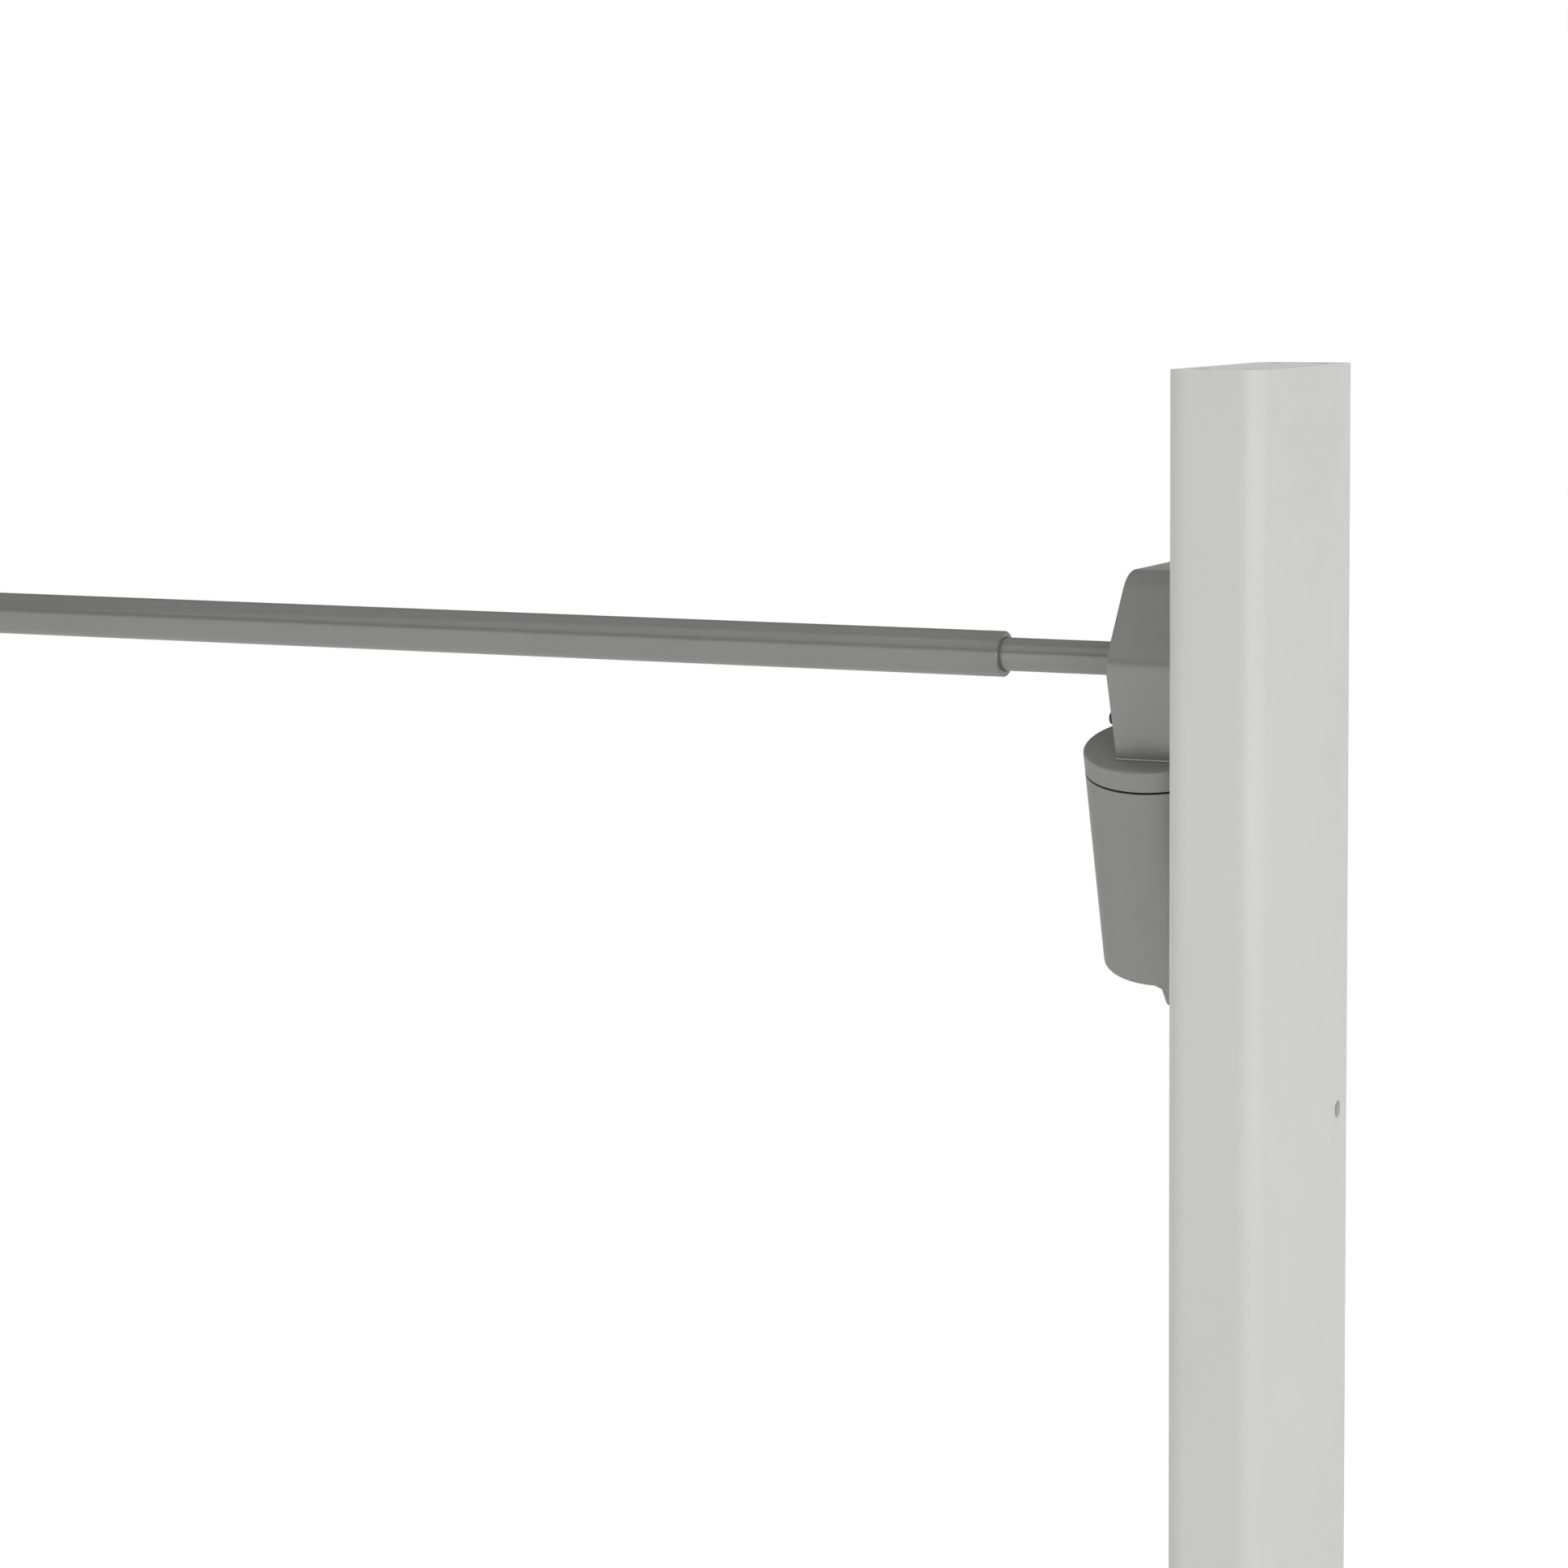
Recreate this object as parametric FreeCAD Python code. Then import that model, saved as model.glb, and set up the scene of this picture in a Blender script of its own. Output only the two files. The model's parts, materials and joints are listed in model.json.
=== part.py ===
"""Lifting column with its drive: two telescopic steel tubes, a spindle and nut between them, and a
worm gearbox with a tilted motor on the outside. A cross shaft takes the drive to a second column.

Frame: the origin is the centre of the foot plate's underside, +Z is up, +Y is the column's back and the
cross shaft leaves towards -X. Sizes are in millimetres and the column is drawn closed."""
import FreeCAD, Part
import math
import os

V = FreeCAD.Vector
UP, RIGHT = V(0, 0, 1), V(1, 0, 0)

# ---- column --------------------------------------------------------------------------------------
closed_height = 620.0      # foot plate's underside to top plate's upper face
stroke = 400.0
outer_width = 40.0         # upper tube, along X
outer_depth = 120.0        # upper tube, along Y
outer_corner = 9.0
tube_wall = 2.0            # both tubes
glide_gap = 2.0            # between the tubes, all round
slide_play = 0.3           # a glide to the tube that slides past it
foot_thickness = 6.0
foot_width, foot_depth, foot_corner = 78.0, 146.0, 8.0
foot_pitch_x, foot_pitch_y, foot_hole_r = 58.0, 122.0, 4.25
top_thickness = 8.0
top_pitch_x, top_pitch_y, top_hole_r = 20.0, 90.0, 3.4
under_gap = 19.0           # foot plate to the upper tube's lower edge, closed
over_gap = 12.0            # lower tube's end to the top plate, closed
collar_length, collar_rim = 50.0, 3.0
pad_length, pad_width = 35.0, 16.0
pad_from_end, pad_from_front = 5.0, 22.0
service_hole_r, service_hole_z = 3.6, 314.0

# ---- spindle and nut -----------------------------------------------------------------------------
spindle_r = 8.0
journal_r = 6.0            # spindle's top and cross shaft's inner end
spindle_foot_gap = 11.0    # foot plate to the spindle's end
running_play = 0.05        # radial play of a shaft in its bush or nut
nut_r, nut_flange_r, nut_flange, nut_sunk = 11.0, 13.4, 3.0, 2.0
carrier_height, carrier_front = 24.0, 24.0     # along Z, and from the spindle forwards
carrier_play = 0.1         # carrier in the lower tube
carrier_screw_r, carrier_head_r, carrier_grip = 2.5, 4.0, 9.0
retainer_screw_r, retainer_grip = 1.5, 8.0
nut_below_casting = 18.0   # nut's flange to the angle gear casting, closed
retainer_thickness = 2.0
retainer_back, retainer_step = 10.0, 9.0        # behind the spindle, and along the carrier's front
retainer_head_r, retainer_head = 2.8, 1.6
retainer_inset, retainer_clear = 4.5, 1.5
stop_r, stop_thickness = 12.5, 3.5
stop_screw_r, stop_grip, stop_head_r, stop_head = 2.0, 9.0, 4.2, 2.5
spindle_land, spindle_clip_height, collar_wall = 1.5, 1.6, 2.2

# ---- cross shaft and its angle gear --------------------------------------------------------------
shaft_from_back = 20.0     # shaft's axis to the column's back
shaft_drop = 123.5         # top plate's upper face to the shaft's axis
shaft_r = 7.1
shaft_reach = 225.0        # gearbox's outer face to the shaft's free end
flat_depth = 1.2           # long flat that turns the tube
bevel_module, bevel_teeth, bevel_face = 1.25, 20, 4.5
bevel_back = 2.0           # behind the teeth
casting_wall = 3.0
casting_front, casting_height = 20.0, 52.0
notch_gap = 4.0            # casting's front to the cut-away in the lower tube
casting_floor = 11.5       # under the gears, holds the bearing
spigot_r, spigot_length = 13.0, 6.0
lid_screw_r, lid_head_r, lid_head, lid_screw_grip = 1.25, 2.3, 1.2, 3.0
lid_screw_front, lid_screw_back, lid_screw_inset = 12.0, 7.5, 3.5
casting_play, spigot_play, bolt_play = 0.5, 0.1, 0.25
cavity_corner, journal_clear, bush_gap = 3.5, 3.2, 0.4
bush_r = 9.0
bearing_r, bearing_width = 12.0, 6.0
ring_wall, shield_depth = 1.2, 0.4
bolt_pitch_y, bolt_pitch_z = 22.0, 38.0
bolt_r, bolt_head_r, bolt_head, bolt_grip = 2.0, 3.5, 3.0, 7.0

# ---- gearbox: facets given by their distance from the shaft and the way they face ---------------
box_outer_x = -64.65       # face that the cross shaft leaves by
frame_thickness = 6.0
box_wall = 3.0
box_top = 38.8
brow_distance, brow_angle = 39.7, 144.5        # upper front facet
chin_distance, chin_angle = 43.7, 198.0        # lower front facet
heel_distance, heel_angle = 40.0, 330.0        # lower back facet
back_distance = 44.0
crown_round, ridge_round, flange_round, heel_round, back_round = 16.0, 12.0, 1.3, 8.0, 10.0
box_edge = 1.0             # rounding round the face that the cross shaft leaves by
cover_screw_r, cover_head_r, cover_head, cover_grip = 1.8, 2.8, 1.6, 5.0
cover_socket_r, cover_socket = 1.35, 1.2
post_r, post_inset, crown_post_inset = 4.0, 6.0, 8.5
low_post_inset, low_post_rise = 3.8, 17.3      # the post in the front corner over the motor
heel_post_rise = 8.0
boss_wall, boss_depth = 3.0, 3.0               # round the outboard bush, and beyond the wall
motor_boss_r, motor_boss = 4.0, 9.0

# ---- worm drive ----------------------------------------------------------------------------------
worm_module, wheel_teeth = 1.25, 26
worm_pitch_r, worm_length = 5.75, 18.0
wheel_width = 10.0
backlash = 0.22
steady_r, steady_length, steady_gap = 5.5, 6.5, 4.0     # bush for the free end of the worm's shaft
steady_wall = 2.0
key_width, key_length = 4.0, 8.0
shoulder_gap, shaft_land, shaft_bevel = 2.0, 1.0, 0.8
clip_thickness, clip_depth, clip_height = 1.0, 0.5, 2.2

# ---- motor, tilted under the gearbox -------------------------------------------------------------
motor_tilt = 15.0
motor_x = -52.5
flange_drop = 27.8         # shaft's level to the lid's upper face, along the motor
lid_r, lid_height, lid_round = 32.0, 8.95, 1.4
motor_screw_r, motor_screw_grip, motor_head_r, motor_head = 1.5, 8.0, 3.0, 2.0
motor_screw_ring = 22.0
seam_height, seam_depth = 1.0, 1.0
cover_round = 1.8
motor_length = 96.0        # lid and cover together
shell_wall = 2.5
rotor_shaft_r = 3.0
rotor_bearing_r, rotor_bearing_width = 8.0, 5.0
hub_wall = 1.0
can_r, can_wall, can_gap = 27.0, 1.5, 1.2
can_inset, cap_thickness, shaft_clear, end_clear = 0.5, 4.0, 2.0, 4.0
magnet_thickness, air_gap = 4.5, 0.8
magnet_overhang, magnet_gap = 2.0, 18.0
core_length, slot_count, slot_width, slot_depth = 42.0, 12, 3.0, 6.0
coil_overhang, coil_round, coil_sunk, coil_clear = 6.0, 2.5, 1.5, 3.0
commutator_r, commutator_length = 8.5, 9.0
slit_width, slit_depth = 0.5, 1.0
brush_width, brush_height, brush_length, brush_gap = 5.0, 4.0, 9.0, 0.15
holder_wall, brush_plate_thickness = 1.5, 2.0
gland_r, gland_height, gland_round = 13.6, 11.0, 1.0
gland_nut_r, gland_tip_r, gland_nut_height = 10.0, 7.6, 11.0
cable_r, cable_clear = 3.0, 2.0

# ---- cross tube ----------------------------------------------------------------------------------
cross_tube_r, cross_bore_r, tube_round = 9.75, 7.35, 0.8
cross_tube_gap = 62.35     # gearbox's outer face to the tube's end
cross_tube_length = 580.0
socket_r, socket_length = 7.6, 30.0
driver_inset, driver_length, driver_play = 20.0, 25.0, 0.1
pin_r, pin_sunk = 1.5, 0.5

# ---- worked out from the above -------------------------------------------------------------------
shaft_y = outer_depth / 2 - shaft_from_back
shaft_z = closed_height - shaft_drop
inner_width = outer_width - 2 * (tube_wall + glide_gap)
inner_depth = outer_depth - 2 * (tube_wall + glide_gap)
inner_corner = outer_corner - tube_wall - glide_gap
upper_low = foot_thickness + under_gap
upper_high = closed_height - top_thickness
lower_high = upper_high - over_gap
casting_low = shaft_z - casting_height / 2
casting_high = shaft_z + casting_height / 2
nut_high = casting_low - nut_below_casting
carrier_high = nut_high - nut_flange
carrier_low = carrier_high - carrier_height
spindle_low = foot_thickness + spindle_foot_gap
tube_left = -outer_width / 2
frame_left = tube_left - frame_thickness
bevel_r = bevel_module * bevel_teeth / 2
wheel_r = worm_module * wheel_teeth / 2
worm_centre = wheel_r + worm_pitch_r
tilt = math.radians(motor_tilt)
lid_low = flange_drop + lid_height
cover_top = lid_low + seam_height
cover_low = flange_drop + motor_length

notch_front = shaft_y - casting_front - notch_gap
notch_low = nut_high + 2 * retainer_thickness

made = {}


def save(name, *solids):
    """Writes one named piece, which may be several separate solids."""
    made[name] = solids[0] if len(solids) == 1 else Part.makeCompound(list(solids))
    made[name].exportStep(f"parts/{name}.step")


def upright(width, depth, corner, low, high, y=0.0):
    """Upright bar with a rounded rectangular section."""
    bar = Part.makeBox(width, depth, high - low, V(-width / 2, y - depth / 2, low))
    sides = [e for e in bar.Edges if abs(e.Vertexes[0].Z - e.Vertexes[1].Z) > 1]
    return bar.makeFillet(corner, sides)


def along_x(left, right, radius, y=shaft_y, z=shaft_z):
    """Round bar along X, on the cross shaft's axis unless told otherwise."""
    return Part.makeCylinder(radius, right - left, V(left, y, z), RIGHT)


def along_z(low, high, radius, x=0.0, y=shaft_y):
    """Round bar along Z, on the spindle's axis unless told otherwise."""
    return Part.makeCylinder(radius, high - low, V(x, y, low), UP)


def corners(pitch_x, pitch_y):
    """The four corners of a bolt rectangle."""
    return [(sx * pitch_x / 2, sy * pitch_y / 2) for sx in (-1, 1) for sy in (-1, 1)]


def box(low, high):
    """Block between two opposite corners."""
    size = V(*high) - V(*low)
    return Part.makeBox(size.x, size.y, size.z, V(*low))


def rim(solid, radius, level, size, bevelled=False):
    """Rounds or bevels the circular edge of one radius at one level on a part turned about Z."""
    edges = [e for e in solid.Edges if isinstance(e.Curve, Part.Circle)
             and abs(e.Curve.Radius - radius) < 1e-6 and abs(e.Curve.Center.z - level) < 1e-6]
    return solid.makeChamfer(size, edges) if bevelled else solid.makeFillet(size, edges)


# ---- motor axis: parts are drawn with Z down the motor from the shaft's level, Y to the front ----
axis_y = shaft_y - worm_centre * math.cos(tilt)
axis_z = shaft_z - worm_centre * math.sin(tilt)
motor_place = FreeCAD.Placement(V(motor_x, axis_y, axis_z), FreeCAD.Rotation(RIGHT, 180 + motor_tilt))


def on_motor(shape):
    """Moves a part drawn about Z onto the motor's axis."""
    placed = shape.copy()
    placed.Placement = motor_place.multiply(placed.Placement)
    return placed


def disc(top, bottom, radius, x=0.0, y=0.0):
    """Round bar along the motor, in the motor's own frame."""
    return Part.makeCylinder(radius, bottom - top, V(x, y, top), UP)


# ---- gear teeth ----------------------------------------------------------------------------------
pressure = math.tan(math.radians(20.0))


def toothed_wire(teeth, tip_r, tip_half, root_r, root_half, phase, place):
    """Closed outline of a gear with straight-sided teeth. The halves are half a tooth's angle at its
    tip and root, phase turns the first tooth, and place puts a point (u, v) into space."""
    points = []
    for n in range(teeth):
        middle = phase + 2 * math.pi * n / teeth
        for radius, turn in ((root_r, -root_half), (tip_r, -tip_half), (tip_r, tip_half), (root_r, root_half)):
            points.append(place(radius * math.cos(middle + turn), radius * math.sin(middle + turn)))
    return Part.makePolygon(points + points[:1])


def worm_wheel_blank():
    """Helical wheel: its two end outlines are turned against each other by the worm's lead angle."""
    module = worm_module
    tip_r, root_r = wheel_r + module, wheel_r - 1.2 * module
    thick = math.pi * module / 2 - backlash
    tip_half = (thick - 2 * module * pressure) / (2 * tip_r)
    root_half = (thick + 2.4 * module * pressure) / (2 * root_r)
    slope = math.pi * module / (2 * math.pi * worm_pitch_r) / wheel_r
    facing_worm = math.pi + tilt
    ends = []
    for x in (-wheel_width / 2, wheel_width / 2):
        phase = facing_worm + math.pi / wheel_teeth + slope * x
        ends.append(toothed_wire(wheel_teeth, tip_r, tip_half, root_r, root_half, phase,
                                 lambda u, v: V(motor_x + x, shaft_y + u, shaft_z + v)))
    return Part.makeLoft(ends, True, True)


def worm_thread():
    """Single right-hand thread of trapezoidal section round a core, in the motor's frame. A crest faces
    the wheel, which lies towards -Y, at the shaft's level."""
    lead = math.pi * worm_module
    core_r, tip_r = worm_pitch_r - 1.2 * worm_module, worm_pitch_r + worm_module
    foot_r = core_r - 0.3
    thick = lead / 2 - backlash
    half_foot = thick / 2 + (worm_pitch_r - foot_r) * pressure
    half_tip = thick / 2 - (tip_r - worm_pitch_r) * pressure
    outline = [V(foot_r, 0, -half_foot), V(tip_r, 0, -half_tip), V(tip_r, 0, half_tip), V(foot_r, 0, half_foot)]
    turns = math.ceil(worm_length / 2 / lead) + 1
    helix = Part.makeHelix(lead, lead * (2 * turns + 1), worm_pitch_r)
    thread = Part.Wire(helix).makePipeShell([Part.makePolygon(outline + outline[:1])], True, True)
    thread.translate(V(0, 0, -lead * (turns + 0.75)))
    band = disc(1 - worm_length / 2, worm_length / 2 - 1, tip_r + 1)
    return disc(-worm_length / 2, worm_length / 2, core_r).fuse(thread.common(band))


def bevel_gear(phase, place):
    """Mitre gear whose teeth all point at the apex. It is drawn on an axis w that runs away from the
    apex: place(u, v, w) puts it on its shaft."""
    slant = bevel_r * math.sqrt(2)
    tip_r = bevel_r * math.tan(math.pi / 4 + math.atan(bevel_module / slant))
    root_r = bevel_r * math.tan(math.pi / 4 - math.atan(1.25 * bevel_module / slant))
    thick = math.pi * bevel_module / 2 - backlash
    rise = bevel_module / math.sqrt(2)
    tip_half = (thick - 2 * bevel_module * pressure) / (2 * (bevel_r + rise))
    root_half = (thick + 2.5 * bevel_module * pressure) / (2 * (bevel_r - 1.25 * rise))
    toe = 1 - bevel_face / slant
    heel, toe = [toothed_wire(bevel_teeth, tip_r * k, tip_half, root_r * k, root_half, phase,
                              lambda u, v: place(u, v, bevel_r * k)) for k in (1.0, toe)]
    flats = [Part.Face(heel), Part.Face(toe)]
    outer, inner = [[v.Point for v in wire.OrderedVertexes] for wire in (heel, toe)]
    for n in range(4 * bevel_teeth):
        flats.append(Part.Face(Part.makePolygon([outer[n - 1], outer[n], inner[n], inner[n - 1], outer[n - 1]])))
    teeth = Part.Solid(Part.Shell(flats))
    back = Part.makeCone(root_r, root_r - bevel_back, bevel_back, place(0, 0, bevel_r),
                         place(0, 0, 1) - place(0, 0, 0))
    bore = Part.makeCylinder(journal_r, 2 * bevel_r, place(0, 0, 0), place(0, 0, 1) - place(0, 0, 0))
    return teeth.fuse(back).removeSplitter().cut(bore)


# ---- gearbox outline -----------------------------------------------------------------------------
facets = [(90.0, box_top), (brow_angle, brow_distance), (chin_angle, chin_distance),
          (270.0 + motor_tilt, flange_drop), (heel_angle, heel_distance), (360.0, back_distance)]
facet_rounds = [crown_round, ridge_round, flange_round, heel_round, ridge_round, back_round]
TOP, BROW, CHIN, FLANGE, HEEL, BACK = range(6)


def meet(a, b, inset_a=0.0, inset_b=0.0):
    """(y, z) of the corner between two facets, each moved inwards by its inset."""
    (angle_a, reach_a), (angle_b, reach_b) = facets[a], facets[b]
    ta, tb = math.radians(angle_a), math.radians(angle_b)
    reach_a, reach_b = reach_a - inset_a, reach_b - inset_b
    turn = math.sin(tb - ta)
    return (shaft_y + (reach_a * math.sin(tb) - reach_b * math.sin(ta)) / turn,
            shaft_z + (reach_b * math.cos(ta) - reach_a * math.cos(tb)) / turn)


def gearbox_block(left, right, inset=0.0):
    """The faceted form between two X planes, with its corners rounded."""
    points = [V(left, *meet(n, (n + 1) % 6, inset, inset)) for n in range(6)]
    arcs, ends = [], []
    for n, p in enumerate(points):
        to_last, to_next = (points[n - 1] - p).normalize(), (points[(n + 1) % 6] - p).normalize()
        half = to_last.getAngle(to_next) / 2
        radius = max(facet_rounds[n] - inset, 0.5)
        middle = p + (to_last + to_next).normalize() * (radius / math.sin(half) - radius)
        first, last = p + to_last * (radius / math.tan(half)), p + to_next * (radius / math.tan(half))
        ends.append((first, last))
        arcs.append(Part.Arc(first, middle, last).toShape())
    edges = []
    for n, arc in enumerate(arcs):
        edges += [arc, Part.LineSegment(ends[n][1], ends[(n + 1) % 6][0]).toShape()]
    return Part.Face(Part.Wire(edges)).extrude(V(right - left, 0, 0))


def cover_screw_places():
    """(y, z) of the four screws that hold the gearbox cover to its frame."""
    crown = crown_post_inset
    return [meet(CHIN, FLANGE, low_post_inset, low_post_rise), meet(TOP, BROW, crown, crown),
            meet(BACK, TOP, post_inset, post_inset), meet(FLANGE, HEEL, heel_post_rise, post_inset)]


# ---- column tubes and plates ---------------------------------------------------------------------
def make_foot_plate():
    plate = upright(foot_width, foot_depth, foot_corner, 0, foot_thickness)
    for x, y in corners(foot_pitch_x, foot_pitch_y):
        plate = plate.cut(along_z(-1, foot_thickness + 1, foot_hole_r, x, y))
    save("foot_plate", plate)


def carrier_screw_shape(side, z):
    """Countersunk screw through the lower tube's side into the nut carrier."""
    start, inwards = V(side * inner_width / 2, shaft_y - carrier_front + 6.0, z), V(-side, 0, 0)
    head = Part.makeCone(carrier_head_r, carrier_screw_r, tube_wall, start, inwards)
    return head.fuse(Part.makeCylinder(carrier_screw_r, carrier_grip, start, inwards))


def carrier_screw_spots():
    middle = (carrier_low + carrier_high) / 2
    return [(side, middle + step) for side in (-1, 1) for step in (-6.0, 6.0)]


def make_lower_profile():
    """Inner tube, cut away behind above the nut so that it passes the angle gear casting."""
    tube = upright(inner_width, inner_depth, inner_corner, foot_thickness, lower_high)
    tube = tube.cut(upright(inner_width - 2 * tube_wall, inner_depth - 2 * tube_wall,
                            inner_corner - tube_wall, foot_thickness - 1, lower_high + 1))
    tube = tube.cut(box((-outer_width, notch_front, notch_low), (outer_width, outer_depth, lower_high + 1)))
    for side, z in carrier_screw_spots():
        tube = tube.cut(carrier_screw_shape(side, z))
    save("lower_profile", tube)


def make_lower_glides():
    """Pads on the lower tube's outside at its top, where the tube isn't cut away."""
    thick = glide_gap - slide_play
    high = lower_high - pad_from_end
    low, half = high - pad_length, pad_width / 2
    front = -inner_depth / 2
    pads = [box((-half, front - thick, low), (half, front, high))]
    for side in (-1, 1):
        near, far = sorted((side * inner_width / 2, side * (inner_width / 2 + thick)))
        for y in (front + pad_from_front, notch_front - pad_width):
            pads.append(box((near, y - half, low), (far, y + half, high)))
    save("lower_glides", *pads)


def make_upper_profile():
    tube = upright(outer_width, outer_depth, outer_corner, upper_low, upper_high)
    tube = tube.cut(upright(outer_width - 2 * tube_wall, outer_depth - 2 * tube_wall,
                            outer_corner - tube_wall, upper_low - 1, upper_high + 1))
    tube = tube.cut(along_x(tube_left - 1, tube_left + tube_wall + 1, spigot_r + 0.2))
    for y, z in corners(bolt_pitch_y, bolt_pitch_z):
        tube = tube.cut(along_x(tube_left - 1, tube_left + tube_wall + 1, bolt_r + bolt_play,
                                shaft_y + y, shaft_z + z))
    tube = tube.cut(along_x(0, outer_width, service_hole_r, shaft_y, service_hole_z))
    save("upper_profile", tube)


def make_top_plate():
    plate = upright(outer_width, outer_depth, outer_corner, upper_high, closed_height)
    for x, y in corners(top_pitch_x, top_pitch_y):
        plate = plate.cut(along_z(upper_high - 1, closed_height + 1, top_hole_r, x, y))
    save("top_plate", plate)


def make_glide_collar():
    """Plastic collar pushed into the upper tube's lower end, with a rim under the tube's edge."""
    sleeve = upright(outer_width - 2 * tube_wall, outer_depth - 2 * tube_wall,
                     outer_corner - tube_wall, upper_low, upper_low + collar_length)
    rim_ring = upright(outer_width, outer_depth, outer_corner, upper_low - collar_rim, upper_low)
    hollow = upright(inner_width + 2 * slide_play, inner_depth + 2 * slide_play,
                     inner_corner + slide_play, upper_low - collar_rim - 1, upper_low + collar_length + 1)
    save("glide_collar", sleeve.fuse(rim_ring).cut(hollow))


# ---- nut, carrier and spindle --------------------------------------------------------------------
def make_nut_carrier():
    """Block across the lower tube that holds the nut."""
    inside = 2 * (tube_wall + carrier_play)
    block = upright(inner_width - inside, inner_depth - inside, inner_corner - tube_wall,
                    carrier_low, carrier_high)
    block = block.cut(box((-inner_width, -inner_depth, carrier_low - 1),
                          (inner_width, shaft_y - carrier_front, carrier_high + 1)))
    block = block.cut(along_z(carrier_low - 1, carrier_high + 1, nut_r))
    for side, z in carrier_screw_spots():
        block = block.cut(carrier_screw_shape(side, z))
    for x, y in retainer_screw_spots():
        block = block.cut(along_z(carrier_high - retainer_grip, carrier_high + 1, retainer_screw_r, x, y))
    save("nut_carrier", block)
    save("carrier_screws", *[carrier_screw_shape(side, z) for side, z in carrier_screw_spots()])


def retainer_screw_spots():
    reach = inner_width / 2 - carrier_grip - retainer_screw_r - 1.0
    return [(side * reach, shaft_y - carrier_front + retainer_inset) for side in (-1, 1)]


def make_lift_nut():
    nut = along_z(carrier_low + nut_sunk, carrier_high, nut_r)
    nut = nut.fuse(along_z(carrier_high, nut_high, nut_flange_r))
    save("lift_nut", nut.cut(along_z(carrier_low, nut_high + 1, spindle_r + running_play)))


def make_nut_retainer():
    """Plate over the nut's flange, stepped down to the carrier in front of it."""
    half_x = inner_width / 2 - tube_wall - carrier_play
    front = shaft_y - carrier_front
    plate = box((-half_x, front, nut_high), (half_x, shaft_y + retainer_back, nut_high + retainer_thickness))
    step = box((-half_x, front, carrier_high), (half_x, front + retainer_step, nut_high))
    plate = plate.fuse(step).removeSplitter()
    plate = plate.cut(along_z(carrier_high, nut_high + retainer_thickness + 1, spindle_r + retainer_clear))
    screws = []
    top = nut_high + retainer_thickness
    for x, y in retainer_screw_spots():
        plate = plate.cut(along_z(carrier_high - 1, top + 1, retainer_screw_r, x, y))
        shank = along_z(carrier_high - retainer_grip, top, retainer_screw_r, x, y)
        screws.append(shank.fuse(along_z(top, top + retainer_head, retainer_head_r, x, y)))
    save("nut_retainer", plate)
    save("retainer_screws", *screws)


def make_spindle():
    """Spindle, hung from its bearing in the casting. Its journal carries the lower mitre gear."""
    gear_toe = shaft_z - bevel_r * (1 - bevel_face / (bevel_r * math.sqrt(2)))
    end = gear_toe + clip_thickness + spindle_land
    bar = along_z(spindle_low, casting_low, spindle_r).fuse(along_z(casting_low, end, journal_r))
    groove = along_z(gear_toe, gear_toe + clip_thickness, journal_r + 1)
    bar = bar.cut(groove.cut(along_z(gear_toe, gear_toe + clip_thickness, journal_r - clip_depth)))
    bar = bar.cut(along_z(spindle_low - 1, spindle_low + stop_grip + 1.0, stop_screw_r))
    save("spindle", bar)
    clip = along_z(gear_toe, gear_toe + clip_thickness, journal_r - clip_depth + spindle_clip_height)
    save("spindle_circlip", clip.cut(along_z(gear_toe - 1, gear_toe + 2, journal_r - clip_depth)))
    gear_back = shaft_z - bevel_r - bevel_back
    collar = along_z(casting_low + bearing_width, gear_back, journal_r + collar_wall)
    save("spindle_collar", collar.cut(along_z(casting_low, gear_back + 1, journal_r)))
    stop = along_z(spindle_low - stop_thickness, spindle_low, stop_r)
    stop = stop.cut(along_z(spindle_low - stop_thickness - 1, spindle_low + 1, stop_screw_r))
    save("spindle_end_stop", stop)
    stop_low = spindle_low - stop_thickness
    head = along_z(stop_low - stop_head, stop_low, stop_head_r)
    save("stop_screw", head.fuse(along_z(stop_low, spindle_low + stop_grip, stop_screw_r)))


def shielded_bearing(bar, start, end, outer_r, inner_r):
    """Ball bearing closed by a shield on each side, a little below the faces of its two rings. The kind
    of round bar it's cut from, bar(from, to, radius), sets its axis."""
    ring = bar(start, end, outer_r).cut(bar(start - 1, end + 1, inner_r))
    for face, inwards in ((start, shield_depth), (end, -shield_depth)):
        low, high = sorted((face - inwards, face + inwards))
        shield = bar(low, high, outer_r - ring_wall).cut(bar(low - 1, high + 1, inner_r + ring_wall))
        ring = ring.cut(shield)
    return ring


def make_spindle_bearing():
    """Bearing in the casting's floor. It takes the desk's load."""
    save("spindle_bearing",
         shielded_bearing(along_z, casting_low, casting_low + bearing_width, bearing_r, journal_r))


# ---- angle gear casting --------------------------------------------------------------------------
cavity_half = bevel_r * 1.2
casting_left = tube_left + tube_wall
casting_right = -casting_left - slide_play - 0.2
lid_left = casting_right - casting_wall
casting_back = outer_depth / 2 - tube_wall - casting_play


def lid_screw_spots():
    """(y, z) of the screws in the casting's side lid."""
    rows = (casting_low + lid_screw_inset, casting_high - lid_screw_inset)
    return [(shaft_y + y, z) for y in (-lid_screw_front, lid_screw_back) for z in rows]


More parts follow.
